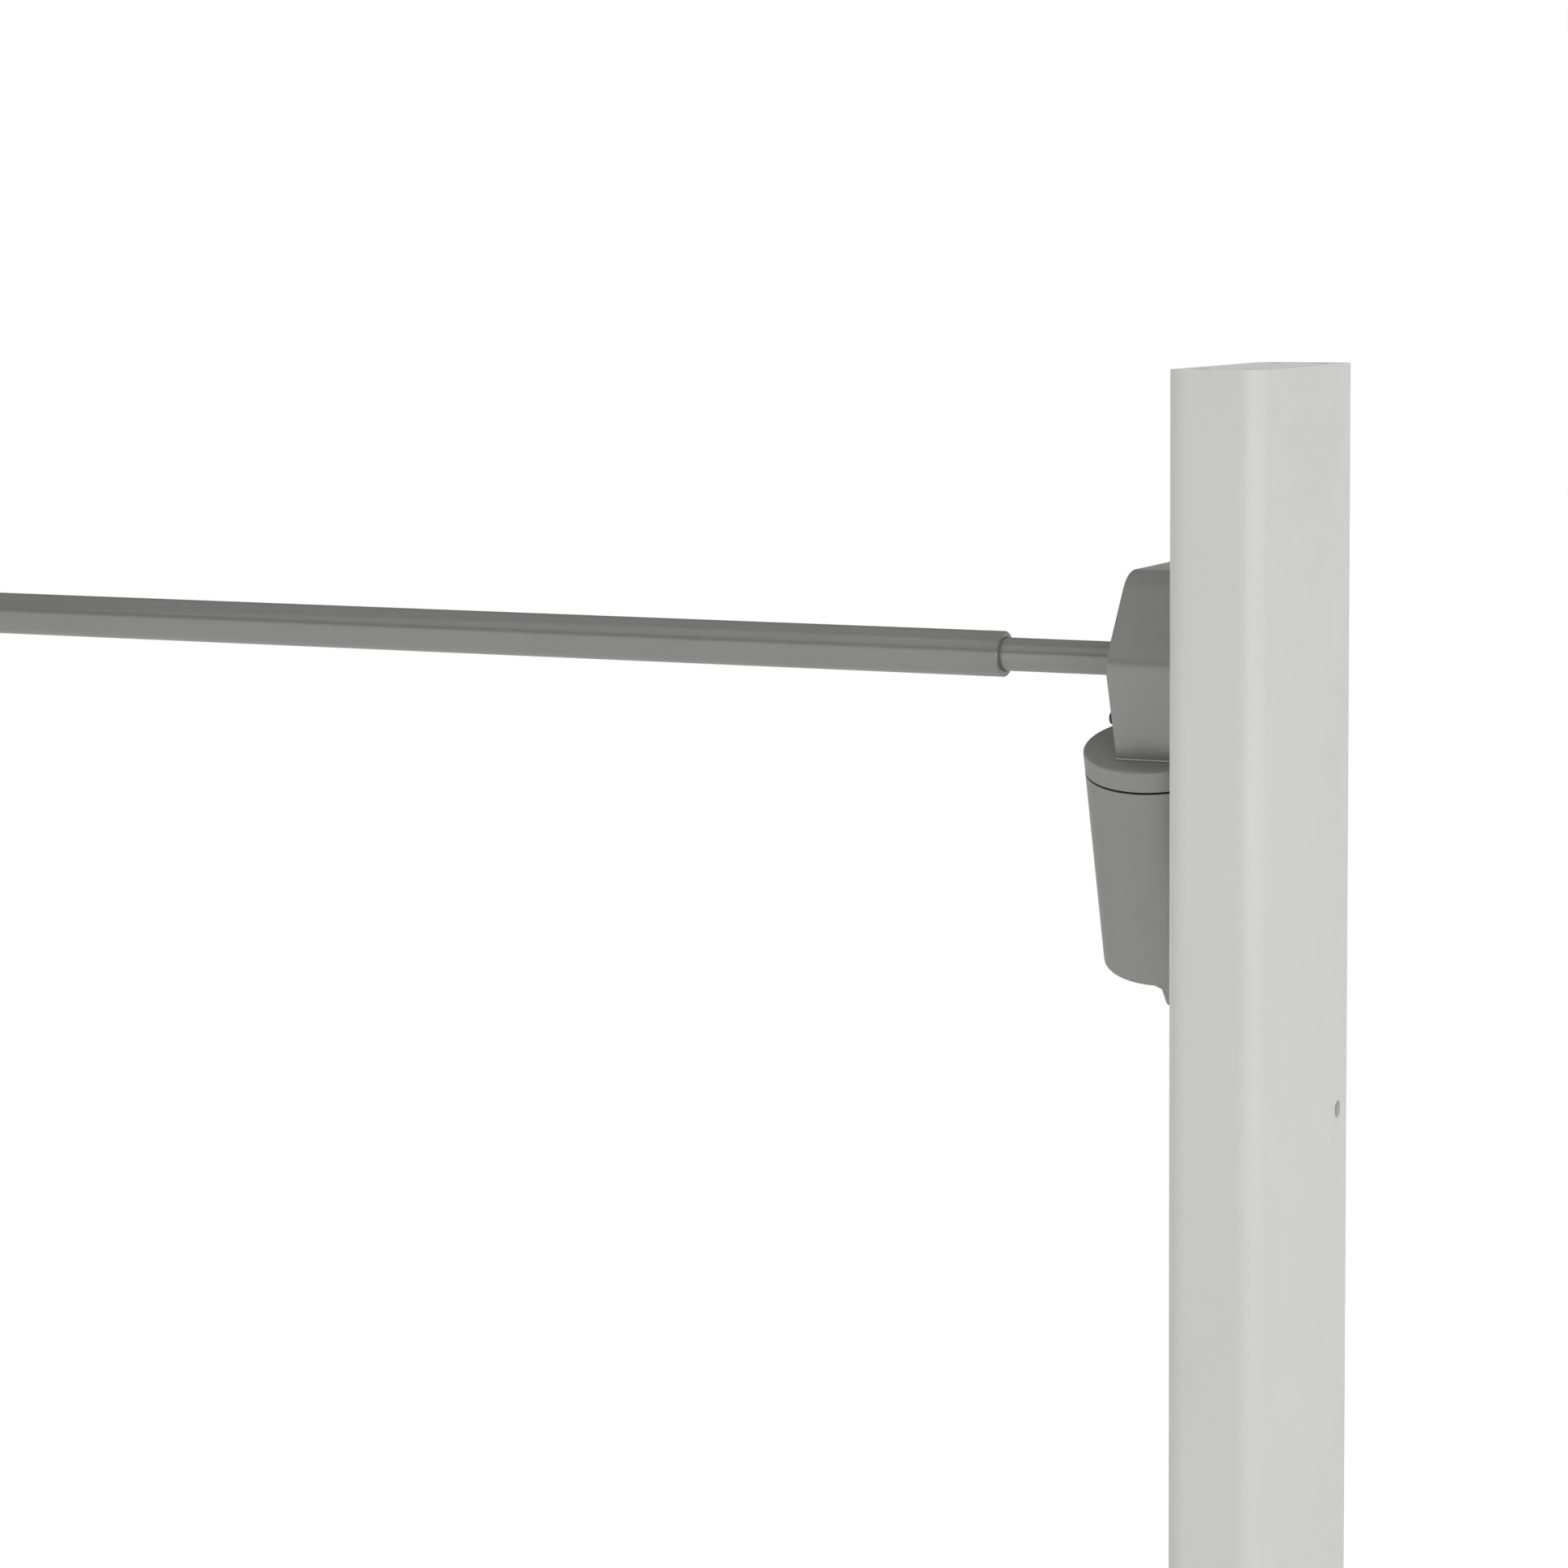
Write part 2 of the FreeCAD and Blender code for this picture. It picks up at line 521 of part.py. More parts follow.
def make_angle_gear_housing():
    """Casting inside the upper tube. The mitre gears run in its cavity, closed by a lid on the side away
    from the gearbox, and its spigot passes through the tube's wall to centre the gearbox frame."""
    front = shaft_y - casting_front
    block = box((casting_left, front, casting_low), (casting_right, casting_back, casting_high))
    rear = [e for e in block.Edges if e.BoundBox.ZLength > 1 and e.BoundBox.YMin > casting_back - 1e-6]
    block = block.makeFillet(outer_corner - tube_wall + 0.6, rear)
    lid = block.common(box((lid_left, 0, casting_low), (casting_right, outer_depth, casting_high)))
    body = block.cut(box((lid_left, 0, casting_low - 1), (outer_width, outer_depth, casting_high + 1)))
    body = body.fuse(along_x(casting_left - spigot_length, casting_left, spigot_r))
    cavity_low = casting_low + casting_floor
    cavity = box((-cavity_half, shaft_y - cavity_half, cavity_low),
                 (lid_left, shaft_y + cavity_half, shaft_z + cavity_half))
    upright_edges = [e for e in cavity.Edges if e.BoundBox.ZLength > 1 and e.BoundBox.XMax < 0]
    body = body.cut(cavity.makeFillet(cavity_corner, upright_edges))
    body = body.cut(along_z(casting_low - 1, casting_low + bearing_width, bearing_r))
    body = body.cut(along_z(casting_low, cavity_low + 1, journal_r + journal_clear))
    body = body.cut(along_x(casting_left - spigot_length - 1, -cavity_half + 1, bush_r))
    for y, z in corners(bolt_pitch_y, bolt_pitch_z):
        body = body.cut(along_x(casting_left - 1, casting_left + bolt_grip, bolt_r, shaft_y + y, shaft_z + z))
    screws = []
    for y, z in lid_screw_spots():
        hole = along_x(lid_left - lid_screw_grip, casting_right + 1, lid_screw_r, y, z)
        body, lid = body.cut(hole), lid.cut(hole)
        sunk = along_x(casting_right - lid_head, casting_right + 1, lid_head_r, y, z)
        lid = lid.cut(sunk)
        screws.append(along_x(lid_left - lid_screw_grip, casting_right - lid_head, lid_screw_r, y, z).fuse(
            along_x(casting_right - lid_head, casting_right, lid_head_r, y, z)))
    save("angle_gear_housing", body)
    save("angle_gear_lid", lid)
    save("lid_screws", *screws)


def make_spigot_bush():
    """Bronze bush of the cross shaft's inner end, flush with the spigot's mouth."""
    left = casting_left - spigot_length
    right = -bevel_r - bevel_back - bush_gap
    bush = along_x(left, right, bush_r).cut(along_x(left - 1, right + 1, journal_r + running_play))
    save("spigot_bush", bush)


# ---- gearbox -------------------------------------------------------------------------------------
def make_gearbox_frame():
    """Flat end of the gearbox, bolted through the tube's wall into the casting."""
    plate = gearbox_block(frame_left, tube_left)
    plate = plate.cut(along_x(frame_left - 1, tube_left + 1, spigot_r + spigot_play))
    bolts = []
    for y, z in corners(bolt_pitch_y, bolt_pitch_z):
        y, z = shaft_y + y, shaft_z + z
        plate = plate.cut(along_x(frame_left - 1, tube_left + 1, bolt_r + bolt_play, y, z))
        shank = along_x(frame_left, casting_left + bolt_grip, bolt_r, y, z)
        bolts.append(shank.fuse(along_x(frame_left - bolt_head, frame_left, bolt_head_r, y, z)))
    for y, z in cover_screw_places():
        plate = plate.cut(along_x(frame_left - 1, frame_left + cover_grip, cover_screw_r, y, z))
    save("gearbox_frame", plate)
    save("frame_bolts", *bolts)


def boss_in(block, part):
    """Keeps only what lies inside the gearbox."""
    return part.common(block)


def make_gearbox_housing():
    """Faceted cover over the worm drive. Its bottom wall is the motor's seat; screw posts, the shaft's
    boss and the worm's steady boss stand inside."""
    block = gearbox_block(box_outer_x, frame_left)
    rounded = block.makeFillet(box_edge, [e for e in block.Edges if e.BoundBox.XMax < box_outer_x + 1e-6])
    hollow = gearbox_block(box_outer_x + box_wall, frame_left + 1, box_wall)
    shell = rounded.cut(hollow)
    inside = box_outer_x + box_wall
    shell = shell.fuse(along_x(inside, inside + boss_depth, bush_r + boss_wall))
    for y, z in cover_screw_places():
        shell = shell.fuse(boss_in(block, along_x(inside, frame_left, post_r, y, z)))
    steady = disc(-2 * box_top, -worm_length / 2 - steady_gap, steady_r + steady_wall)
    shell = shell.fuse(boss_in(block, on_motor(steady)))
    for x, y in motor_screw_spots():
        boss = disc(flange_drop - motor_boss, flange_drop, motor_boss_r, x, y)
        shell = shell.fuse(boss_in(block, on_motor(boss)))
        hole = disc(flange_drop - motor_screw_grip, flange_drop + 1, motor_screw_r, x, y)
        shell = shell.cut(on_motor(hole))
    steady_end = -worm_length / 2 - steady_gap
    shell = shell.cut(on_motor(disc(steady_end - steady_length, steady_end + 1, steady_r)))
    shell = shell.cut(along_x(box_outer_x - 1, inside + boss_depth + 1, bush_r))
    shell = shell.cut(on_motor(disc(0, flange_drop + 1, rotor_bearing_r + hub_wall + running_play)))
    for y, z in cover_screw_places():
        shell = shell.cut(along_x(box_outer_x - 1, frame_left + 1, cover_screw_r, y, z))
    save("gearbox_housing", shell)


def make_cover_screws():
    screws = []
    for y, z in cover_screw_places():
        shank = along_x(box_outer_x, frame_left + cover_grip, cover_screw_r, y, z)
        head = along_x(box_outer_x - cover_head, box_outer_x, cover_head_r, y, z)
        socket_floor = box_outer_x - cover_head + cover_socket
        socket = along_x(box_outer_x - cover_head - 1, socket_floor, cover_socket_r, y, z)
        screws.append(shank.fuse(head).cut(socket))
    save("cover_screws", *screws)


def make_outboard_bush():
    """Flush bush where the cross shaft leaves the gearbox."""
    right = box_outer_x + box_wall + boss_depth
    bush = along_x(box_outer_x, right, bush_r)
    save("outboard_bush", bush.cut(along_x(box_outer_x - 1, right + 1, shaft_r + running_play)))


def make_steady_bush():
    """Bush for the free end of the worm's shaft."""
    end = -worm_length / 2 - steady_gap
    bush = disc(end - steady_length, end, steady_r)
    hole = disc(end - steady_length - 1, end + 1, rotor_shaft_r + running_play)
    save("steady_bush", on_motor(bush.cut(hole)))


# ---- cross shaft ---------------------------------------------------------------------------------
shoulder_x = frame_left - shoulder_gap


def clip_ring(left, radius):
    """Circlip in its groove on the cross shaft."""
    ring = along_x(left, left + clip_thickness, radius - clip_depth + clip_height)
    return ring.cut(along_x(left - 1, left + clip_thickness + 1, radius - clip_depth))


def make_cross_shaft():
    free_end = box_outer_x - shaft_reach
    gear_toe = -bevel_r * (1 - bevel_face / (bevel_r * math.sqrt(2)))
    inner_end = gear_toe + clip_thickness + shaft_land
    bar = along_x(free_end, shoulder_x, shaft_r).fuse(along_x(shoulder_x, inner_end, journal_r))
    flat = box((free_end - 1, shaft_y + shaft_r - flat_depth, shaft_z - shaft_r),
               (box_outer_x - shoulder_gap, shaft_y + shaft_r + 1, shaft_z + shaft_r))
    bar = bar.cut(flat)
    half = wheel_width / 2
    clips = [(motor_x - half - clip_thickness, shaft_r), (motor_x + half, shaft_r), (gear_toe, journal_r)]
    for left, radius in clips:
        groove = along_x(left, left + clip_thickness, radius + 1)
        bar = bar.cut(groove.cut(along_x(left - 1, left + clip_thickness + 1, radius - clip_depth)))
    bar = bar.cut(key_block())
    bar = bar.makeChamfer(shaft_bevel, [e for e in bar.Edges if abs(e.BoundBox.XMax - free_end) < 1e-6])
    save("cross_shaft", bar)
    save("shaft_circlips", *[clip_ring(left, radius) for left, radius in clips])
    save("wheel_key", key_block())


def key_block(length=key_length):
    """Key between shaft and wheel, half in each."""
    low = shaft_z + shaft_r - key_width * 0.6
    return box((motor_x - length / 2, shaft_y - key_width / 2, low),
               (motor_x + length / 2, shaft_y + key_width / 2, low + key_width))


def make_worm_wheel():
    wheel = worm_wheel_blank()
    wheel = wheel.cut(along_x(motor_x - wheel_width, motor_x + wheel_width, shaft_r))
    save("worm_wheel", wheel.cut(key_block(wheel_width + 2)))


def make_bevel_gears():
    """The shaft's gear has a tooth pointing down, where the spindle's gear has a gap towards -X."""
    on_shaft = bevel_gear(-math.pi / 2, lambda u, v, w: V(-w, shaft_y + u, shaft_z + v))
    on_spindle = bevel_gear(math.pi + math.pi / bevel_teeth, lambda u, v, w: V(u, shaft_y + v, shaft_z - w))
    save("shaft_bevel_gear", on_shaft)
    save("spindle_bevel_gear", on_spindle)


# ---- motor casing --------------------------------------------------------------------------------
def motor_screw_spots():
    """(x, y) in the motor's frame of the screws that hold the lid under the gearbox."""
    places = []
    for angle in (25.0, 320.0, 262.0):
        turn = math.radians(angle)
        places.append((motor_screw_ring * math.cos(turn), motor_screw_ring * math.sin(turn)))
    return places


def make_motor_lid():
    """Round lid between gearbox and motor cover, with the upper rotor bearing in its hub."""
    hub_r = rotor_bearing_r + hub_wall
    lid = rim(disc(flange_drop, lid_low, lid_r), lid_r, flange_drop, lid_round)
    lid = lid.cut(disc(flange_drop + box_wall, lid_low + 1, lid_r - shell_wall))
    hub_top = flange_drop - rotor_bearing_width - hub_wall
    lid = lid.fuse(disc(hub_top, flange_drop + box_wall, hub_r)).removeSplitter()
    lid = lid.cut(disc(hub_top + hub_wall, lid_low + 1, rotor_bearing_r))
    lid = lid.cut(disc(hub_top - 1, hub_top + 2, rotor_shaft_r + 1.5))
    screws = []
    for x, y in motor_screw_spots():
        seat = flange_drop + box_wall
        lid = lid.cut(disc(flange_drop - 1, seat + 1, motor_screw_r + 0.2, x, y))
        screws.append(disc(flange_drop - motor_screw_grip, seat, motor_screw_r, x, y).fuse(
            disc(seat, seat + motor_head, motor_head_r, x, y)))
    save("motor_lid", on_motor(lid))
    save("motor_screws", *[on_motor(s) for s in screws])


def make_seam_seal():
    """Black ring in the seam between lid and cover."""
    ring = disc(lid_low, cover_top, lid_r - seam_depth)
    save("seam_seal", on_motor(ring.cut(disc(lid_low - 1, cover_top + 1, lid_r - shell_wall))))


def make_motor_cover():
    """Deep cover with a rounded lower edge, bored for the cable gland."""
    cover = rim(disc(cover_top, cover_low, lid_r), lid_r, cover_low, cover_round)
    cover = cover.cut(disc(cover_top - 1, cover_low - shell_wall, lid_r - shell_wall))
    save("motor_cover", on_motor(cover.cut(disc(cover_top, cover_low + 1, cable_r + cable_clear))))


def make_gland():
    """Cable gland under the cover: a round body and a tapered nut with a rounded nose."""
    body_end = cover_low + gland_height
    body = rim(disc(cover_low, body_end, gland_r), gland_r, body_end, gland_round, True)
    save("gland_body", on_motor(body.cut(disc(cover_low - 1, body_end + 1, cable_r + cable_clear))))
    tip = body_end + gland_nut_height
    nut = Part.makeCone(gland_nut_r, gland_tip_r, gland_nut_height, V(0, 0, body_end), UP)
    nut = rim(nut, gland_tip_r, tip, gland_round, True)
    save("gland_nut", on_motor(nut.cut(disc(body_end - 1, tip + 1, cable_r))))


# ---- motor works ---------------------------------------------------------------------------------
can_top = cover_top + can_inset
core_top = can_top + cap_thickness + coil_overhang + coil_clear
core_low = core_top + core_length
core_r = can_r - can_wall - magnet_thickness - air_gap
commutator_top = core_low + coil_overhang + coil_clear / 2
commutator_low = commutator_top + commutator_length
can_low = commutator_low + end_clear + rotor_bearing_width


def make_motor_bearings():
    """Upper bearing in the lid's hub and lower bearing in the can's end."""
    tops = {"worm_bearing": flange_drop - rotor_bearing_width, "end_bearing": can_low - rotor_bearing_width}
    for name, top in tops.items():
        low = top + rotor_bearing_width
        save(name, on_motor(shielded_bearing(disc, top, low, rotor_bearing_r, rotor_shaft_r)))


def make_motor_can():
    """Steel can with the magnets in it, hung from its end cap."""
    can = disc(can_top + cap_thickness, can_low, can_r)
    can = can.cut(disc(can_top, can_low - rotor_bearing_width - 1.5, can_r - can_wall))
    can = can.cut(disc(can_low - rotor_bearing_width, can_low + 1, rotor_bearing_r))
    can = can.cut(disc(can_top, can_low, rotor_shaft_r + shaft_clear))
    save("motor_can", on_motor(can))
    cap = disc(can_top, can_top + cap_thickness, can_r)
    save("motor_end_cap", on_motor(cap.cut(disc(can_top - 1, core_top, rotor_shaft_r + shaft_clear))))


def make_magnets():
    """Two curved magnets, one on each side of the rotor."""
    outer = can_r - can_wall
    top, low = core_top - magnet_overhang, core_low + magnet_overhang
    ring = disc(top, low, outer).cut(disc(top - 1, low + 1, outer - magnet_thickness))
    gap = box((-can_r, -magnet_gap / 2, top - 1), (can_r, magnet_gap / 2, low + 1))
    save("magnets", *[on_motor(s) for s in ring.cut(gap).Solids])


def make_brush_gear():
    """Plate with two box-section holders, and the carbon brushes that bear on the commutator."""
    level = (commutator_top + commutator_low) / 2
    plate_top = commutator_low - 0.5
    reach = can_r - can_wall - 0.2
    plate = disc(plate_top, plate_top + brush_plate_thickness, reach)
    plate = plate.cut(disc(plate_top - 1, plate_top + brush_plate_thickness + 1, commutator_r + 1.0))
    brushes = []
    inner = commutator_r + brush_gap
    half_width, half_height = brush_width / 2, brush_height / 2
    wide, high = half_width + holder_wall, half_height + holder_wall
    for side in (-1, 1):
        near, far = sorted((side * (commutator_r + 2.0), side * (reach - 3.0)))
        holder = box((near, -wide, level - high), (far, wide, plate_top))
        near, far = sorted((side * inner, side * (commutator_r + brush_length)))
        brush = box((near, -half_width, level - half_height), (far, half_width, level + half_height))
        room = box((near - 1, -half_width, level - half_height), (far + 1, half_width, level + half_height))
        plate = plate.fuse(holder).cut(room)
        brushes.append(on_motor(brush))
    save("brush_plate", on_motor(plate))
    save("brushes", *brushes)


def make_rotor():
    """Shaft with the worm cut on it, slotted core with its windings, and the commutator."""
    shaft_top = -worm_length / 2 - steady_gap - steady_length + 0.5
    save("worm_shaft", on_motor(disc(shaft_top, can_low - 0.5, rotor_shaft_r).fuse(worm_thread())))
    core = disc(core_top, core_low, core_r)
    ring_r = core_r - coil_sunk
    coils = disc(core_top - coil_overhang, core_low + coil_overhang, ring_r)
    coils = coils.cut(disc(core_top, core_low, ring_r + 1))
    for level in (core_top - coil_overhang, core_low + coil_overhang):
        coils = rim(coils, ring_r, level, coil_round, True)
    for n in range(slot_count):
        turn = 360.0 * n / slot_count
        foot = core_r - slot_depth
        slot = box((foot, -slot_width / 2, core_top - 1), (core_r + 1, slot_width / 2, core_low + 1))
        bar = box((foot, -slot_width / 2, core_top), (ring_r, slot_width / 2, core_low))
        for piece in (slot, bar):
            piece.rotate(V(0, 0, 0), UP, turn)
        core = core.cut(slot)
        coils = coils.fuse(bar)
    hole = disc(core_top - motor_length, core_low + motor_length, rotor_shaft_r)
    save("armature", on_motor(core.cut(hole)))
    save("windings", on_motor(coils.cut(hole)))
    ring = disc(commutator_top, commutator_low, commutator_r)
    for n in range(slot_count // 2):
        slit = box((-commutator_r - 1, -slit_width / 2, commutator_top - 1),
                   (commutator_r + 1, slit_width / 2, commutator_low + 1))
        slit.rotate(V(0, 0, 0), UP, 360.0 * n / slot_count)
        ring = ring.cut(slit.cut(disc(commutator_top - 2, commutator_low + 2, commutator_r - slit_depth)))
    save("commutator", on_motor(ring.cut(disc(commutator_top - 1, commutator_low + 1, rotor_shaft_r))))


# ---- cross tube ----------------------------------------------------------------------------------
def make_cross_tube():
    """Tube that slides over the cross shaft. A key pinned inside it bears on the shaft's flat and takes
    the turning force, and its far end is reamed for the second column's shaft."""
    near = box_outer_x - cross_tube_gap
    far = near - cross_tube_length
    tube = along_x(far, near, cross_tube_r)
    tube = tube.cut(along_x(far - 1, near + 1, cross_bore_r))
    tube = tube.cut(along_x(far - 1, far + socket_length, socket_r))
    outer_rim = [e for e in tube.Edges if isinstance(e.Curve, Part.Circle)
                 and abs(e.Curve.Radius - cross_tube_r) < 1e-6]
    tube = tube.makeFillet(tube_round, outer_rim)
    key_right = near - driver_inset
    key_left = key_right - driver_length
    key_face = shaft_y + shaft_r - flat_depth + driver_play
    key = along_x(key_left, key_right, cross_bore_r)
    key = key.common(box((key_left, key_face, shaft_z - cross_bore_r),
                         (key_right, shaft_y + cross_bore_r, shaft_z + cross_bore_r)))
    pins, middle = [], (key_left + key_right) / 2
    for x in (middle - driver_length / 4, middle + driver_length / 4):
        reach = shaft_y + cross_tube_r - key_face - pin_sunk
        pin = Part.makeCylinder(pin_r, reach, V(x, key_face, shaft_z), V(0, 1, 0))
        hole = Part.makeCylinder(pin_r, reach + 1, V(x, key_face, shaft_z), V(0, 1, 0))
        tube, key = tube.cut(hole), key.cut(hole)
        pins.append(pin)
    save("cross_tube", tube)
    save("tube_key", key)
    save("key_pins", *pins)


os.makedirs("parts", exist_ok=True)
for build in (make_foot_plate, make_lower_profile, make_lower_glides, make_upper_profile, make_top_plate,
              make_glide_collar, make_nut_carrier, make_lift_nut, make_nut_retainer, make_spindle,
              make_spindle_bearing, make_angle_gear_housing, make_spigot_bush, make_gearbox_frame,
              make_gearbox_housing, make_cover_screws, make_outboard_bush, make_steady_bush,
              make_cross_shaft, make_worm_wheel, make_bevel_gears, make_motor_lid, make_seam_seal,
              make_motor_cover, make_gland, make_motor_bearings, make_motor_can, make_magnets,
              make_brush_gear, make_rotor, make_cross_tube):
    build()
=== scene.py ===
# %% [markdown]
# # A lifting column with its drive
# The object is one leg of a height-adjustable desk: two steel tubes that slide in each other, a
# worm gearbox with a tilted motor on the outside, and a cross shaft that takes the drive to a
# second leg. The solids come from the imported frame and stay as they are. This file gives every one
# of them its finish and adds the small things that are worked out as surfaces: welds, threads and
# screw heads.

# %% The frame
import bmesh
import bpy
import json
import math
import numpy as np
from mathutils import Matrix, Vector


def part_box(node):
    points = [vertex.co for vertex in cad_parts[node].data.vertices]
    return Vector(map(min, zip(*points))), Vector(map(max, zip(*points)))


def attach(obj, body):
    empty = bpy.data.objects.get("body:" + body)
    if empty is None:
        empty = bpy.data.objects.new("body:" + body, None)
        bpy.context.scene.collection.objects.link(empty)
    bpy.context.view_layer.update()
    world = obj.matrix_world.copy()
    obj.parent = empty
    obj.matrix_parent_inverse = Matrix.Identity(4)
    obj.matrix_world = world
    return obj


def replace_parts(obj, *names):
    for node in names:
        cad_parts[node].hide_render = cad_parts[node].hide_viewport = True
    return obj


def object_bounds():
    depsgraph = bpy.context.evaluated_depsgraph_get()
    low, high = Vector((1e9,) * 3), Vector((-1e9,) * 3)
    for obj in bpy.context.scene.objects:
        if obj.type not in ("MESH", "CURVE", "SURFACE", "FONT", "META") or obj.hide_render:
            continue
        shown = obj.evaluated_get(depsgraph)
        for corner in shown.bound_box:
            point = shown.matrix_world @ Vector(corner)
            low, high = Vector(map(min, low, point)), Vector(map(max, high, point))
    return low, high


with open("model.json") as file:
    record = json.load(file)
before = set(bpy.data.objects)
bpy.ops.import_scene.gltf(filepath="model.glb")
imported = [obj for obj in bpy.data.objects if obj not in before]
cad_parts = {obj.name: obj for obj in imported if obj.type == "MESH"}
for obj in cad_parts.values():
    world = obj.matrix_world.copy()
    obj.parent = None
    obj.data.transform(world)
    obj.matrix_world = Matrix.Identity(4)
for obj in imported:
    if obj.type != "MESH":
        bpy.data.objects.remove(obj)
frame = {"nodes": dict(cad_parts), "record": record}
cad_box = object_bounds()
nodes = frame["nodes"]
mounts = {m["name"]: m for m in frame["record"]["mounts"]}
slot_of = {p["node"]: p["material_slot"] for p in frame["record"]["subparts"]}

# %% [markdown]
# ## Nodes for finishes
# A finish here is always the same few things: a colour that isn't quite even, a roughness that
# isn't quite even, and a fine relief. Pictures wrapped round the pieces could give them, but every
# piece would have to be unfolded first. Noise needs no unfolding: it is read at Object coordinates,
# which are metres in the frame's own axes, so a grain of half a millimetre is half a millimetre on
# every piece. Small helpers keep the finishes below short.

# %% Node helpers
NOISE_ENDS = (0.3, 0.7)     # noise seldom goes further, so a finish is at its extremes here


def new_finish(name, colour, roughness, metallic=0.0, specular=0.5, edge=1.0):
    """Material with one Principled shader, and the tree, shader and coordinates to build on. `edge`
    dims its reflection: a metal's where the surface turns away, a paint's where it faces the eye."""
    material = bpy.data.materials.new(name)
    material.use_nodes = True
    tree = material.node_tree
    shader = tree.nodes["Principled BSDF"]
    shader.inputs["Base Color"].default_value = (*colour, 1.0)
    shader.inputs["Roughness"].default_value = roughness
    shader.inputs["Metallic"].default_value = metallic
    shader.inputs["Specular IOR Level"].default_value = specular
    shader.inputs["Specular Tint"].default_value = (edge, edge, edge, 1.0)
    return material, tree, shader, tree.nodes.new("ShaderNodeTexCoord").outputs["Object"]


def noise(tree, place, size, detail=2.0, stretch=(1.0, 1.0, 1.0)):
    """Noise whose features are about `size` metres across, drawn out along an axis by `stretch`."""
    mapping = tree.nodes.new("ShaderNodeMapping")
    mapping.inputs["Scale"].default_value = [1.0 / (size * s) for s in stretch]
    tree.links.new(place, mapping.inputs["Vector"])
    texture = tree.nodes.new("ShaderNodeTexNoise")
    texture.inputs["Scale"].default_value = 1.0
    texture.inputs["Detail"].default_value = detail
    tree.links.new(mapping.outputs["Vector"], texture.inputs["Vector"])
    return texture.outputs["Fac"]


def vary_colour(tree, shader, factor, colour, spread):
    """Base colour that runs from darker to lighter by `spread` of itself."""
    ramp = tree.nodes.new("ShaderNodeValToRGB")
    gains = (1 - spread, 1 + spread)
    for element, position, gain in zip(ramp.color_ramp.elements, NOISE_ENDS, gains):
        element.position = position
        element.color = (*[min(c * gain, 1.0) for c in colour], 1.0)
    tree.links.new(factor, ramp.inputs["Fac"])
    tree.links.new(ramp.outputs["Color"], shader.inputs["Base Color"])


def vary_roughness(tree, shader, factor, low, high):
    """Roughness between two values."""
    spread = tree.nodes.new("ShaderNodeMapRange")
    spread.inputs["From Min"].default_value, spread.inputs["From Max"].default_value = NOISE_ENDS
    spread.inputs["To Min"].default_value = low
    spread.inputs["To Max"].default_value = high
    tree.links.new(factor, spread.inputs["Value"])
    tree.links.new(spread.outputs["Result"], shader.inputs["Roughness"])


def relief(tree, shader, height, depth):
    """Bump of `depth` metres from a height between 0 and 1."""
    bump = tree.nodes.new("ShaderNodeBump")
    bump.inputs["Distance"].default_value = depth
    bump.inputs["Strength"].default_value = 1.0
    tree.links.new(height, bump.inputs["Height"])
    tree.links.new(bump.outputs["Normal"], shader.inputs["Normal"])


# %% [markdown]
# ## Paint, plastic and steel
# The tubes are powder coated: the powder melts to a skin with a slight orange peel about a
# millimetre across. The drive's casing is moulded with a finer grain. Steel bars are drawn, which
# leaves fine lines along them, so their noise is stretched along the bar. The pieces inside the
# drive get their own metals too, because the part may be opened or cut. One finish is made for each
# slot of the record, and every solid takes the finish of its slot.

# %% Finishes
def powder_coat():
    colour = (0.655, 0.655, 0.65)
    material, tree, shader, place = new_finish("powder_coat", colour, roughness=0.42)
    vary_colour(tree, shader, noise(tree, place, size=0.09), colour, spread=0.015)
    vary_roughness(tree, shader, noise(tree, place, size=0.02, detail=3.0), low=0.39, high=0.47)
    relief(tree, shader, noise(tree, place, size=0.0011, detail=1.0), depth=0.00002)
    return material


def moulded_casing():
    colour = (0.312, 0.312, 0.308)
    material, tree, shader, place = new_finish("moulded_casing", colour, roughness=0.36,
                                               metallic=0.36, specular=0.15, edge=0.35)
    vary_colour(tree, shader, noise(tree, place, size=0.05), colour, spread=0.02)
    vary_roughness(tree, shader, noise(tree, place, size=0.012, detail=3.0), low=0.33, high=0.39)
    relief(tree, shader, noise(tree, place, size=0.0005, detail=2.0), depth=0.00002)
    return material


# Painted highlight: a lighter grey than the casing, for the bright line along the gearbox's foot lip.
def painted_highlight_edge():
    colour = (0.50, 0.50, 0.49)
    material, tree, shader, place = new_finish("painted_highlight_edge", colour, roughness=0.35, metallic=0.3)
    vary_colour(tree, shader, noise(tree, place, size=0.003, detail=3.0), colour, spread=0.06)
    vary_roughness(tree, shader, noise(tree, place, size=0.001, detail=3.0), low=0.28, high=0.42)
    return material


def tube_paint():
    colour = (0.285, 0.285, 0.281)
    material, tree, shader, place = new_finish("tube_paint", colour, roughness=0.22,
                                               metallic=0.34, specular=0.2, edge=0.4)
    vary_colour(tree, shader, noise(tree, place, size=0.04), colour, spread=0.02)
    vary_roughness(tree, shader, noise(tree, place, size=0.01, detail=3.0), low=0.20, high=0.24)
    relief(tree, shader, noise(tree, place, size=0.0009, detail=1.0), depth=0.000015)
    return material


def drawn_steel():
    colour = (0.295, 0.295, 0.291)
    material, tree, shader, place = new_finish("drawn_steel", colour, roughness=0.22,
                                               metallic=0.36, specular=0.2, edge=0.4)
    lines = noise(tree, place, size=0.0003, detail=2.0, stretch=(120.0, 1.0, 1.0))
    streaks = noise(tree, place, size=0.004, detail=3.0, stretch=(12.0, 1.0, 1.0))
    vary_colour(tree, shader, streaks, colour, spread=0.04)
    vary_roughness(tree, shader, lines, low=0.20, high=0.25)
    relief(tree, shader, lines, depth=0.000008)
    return material


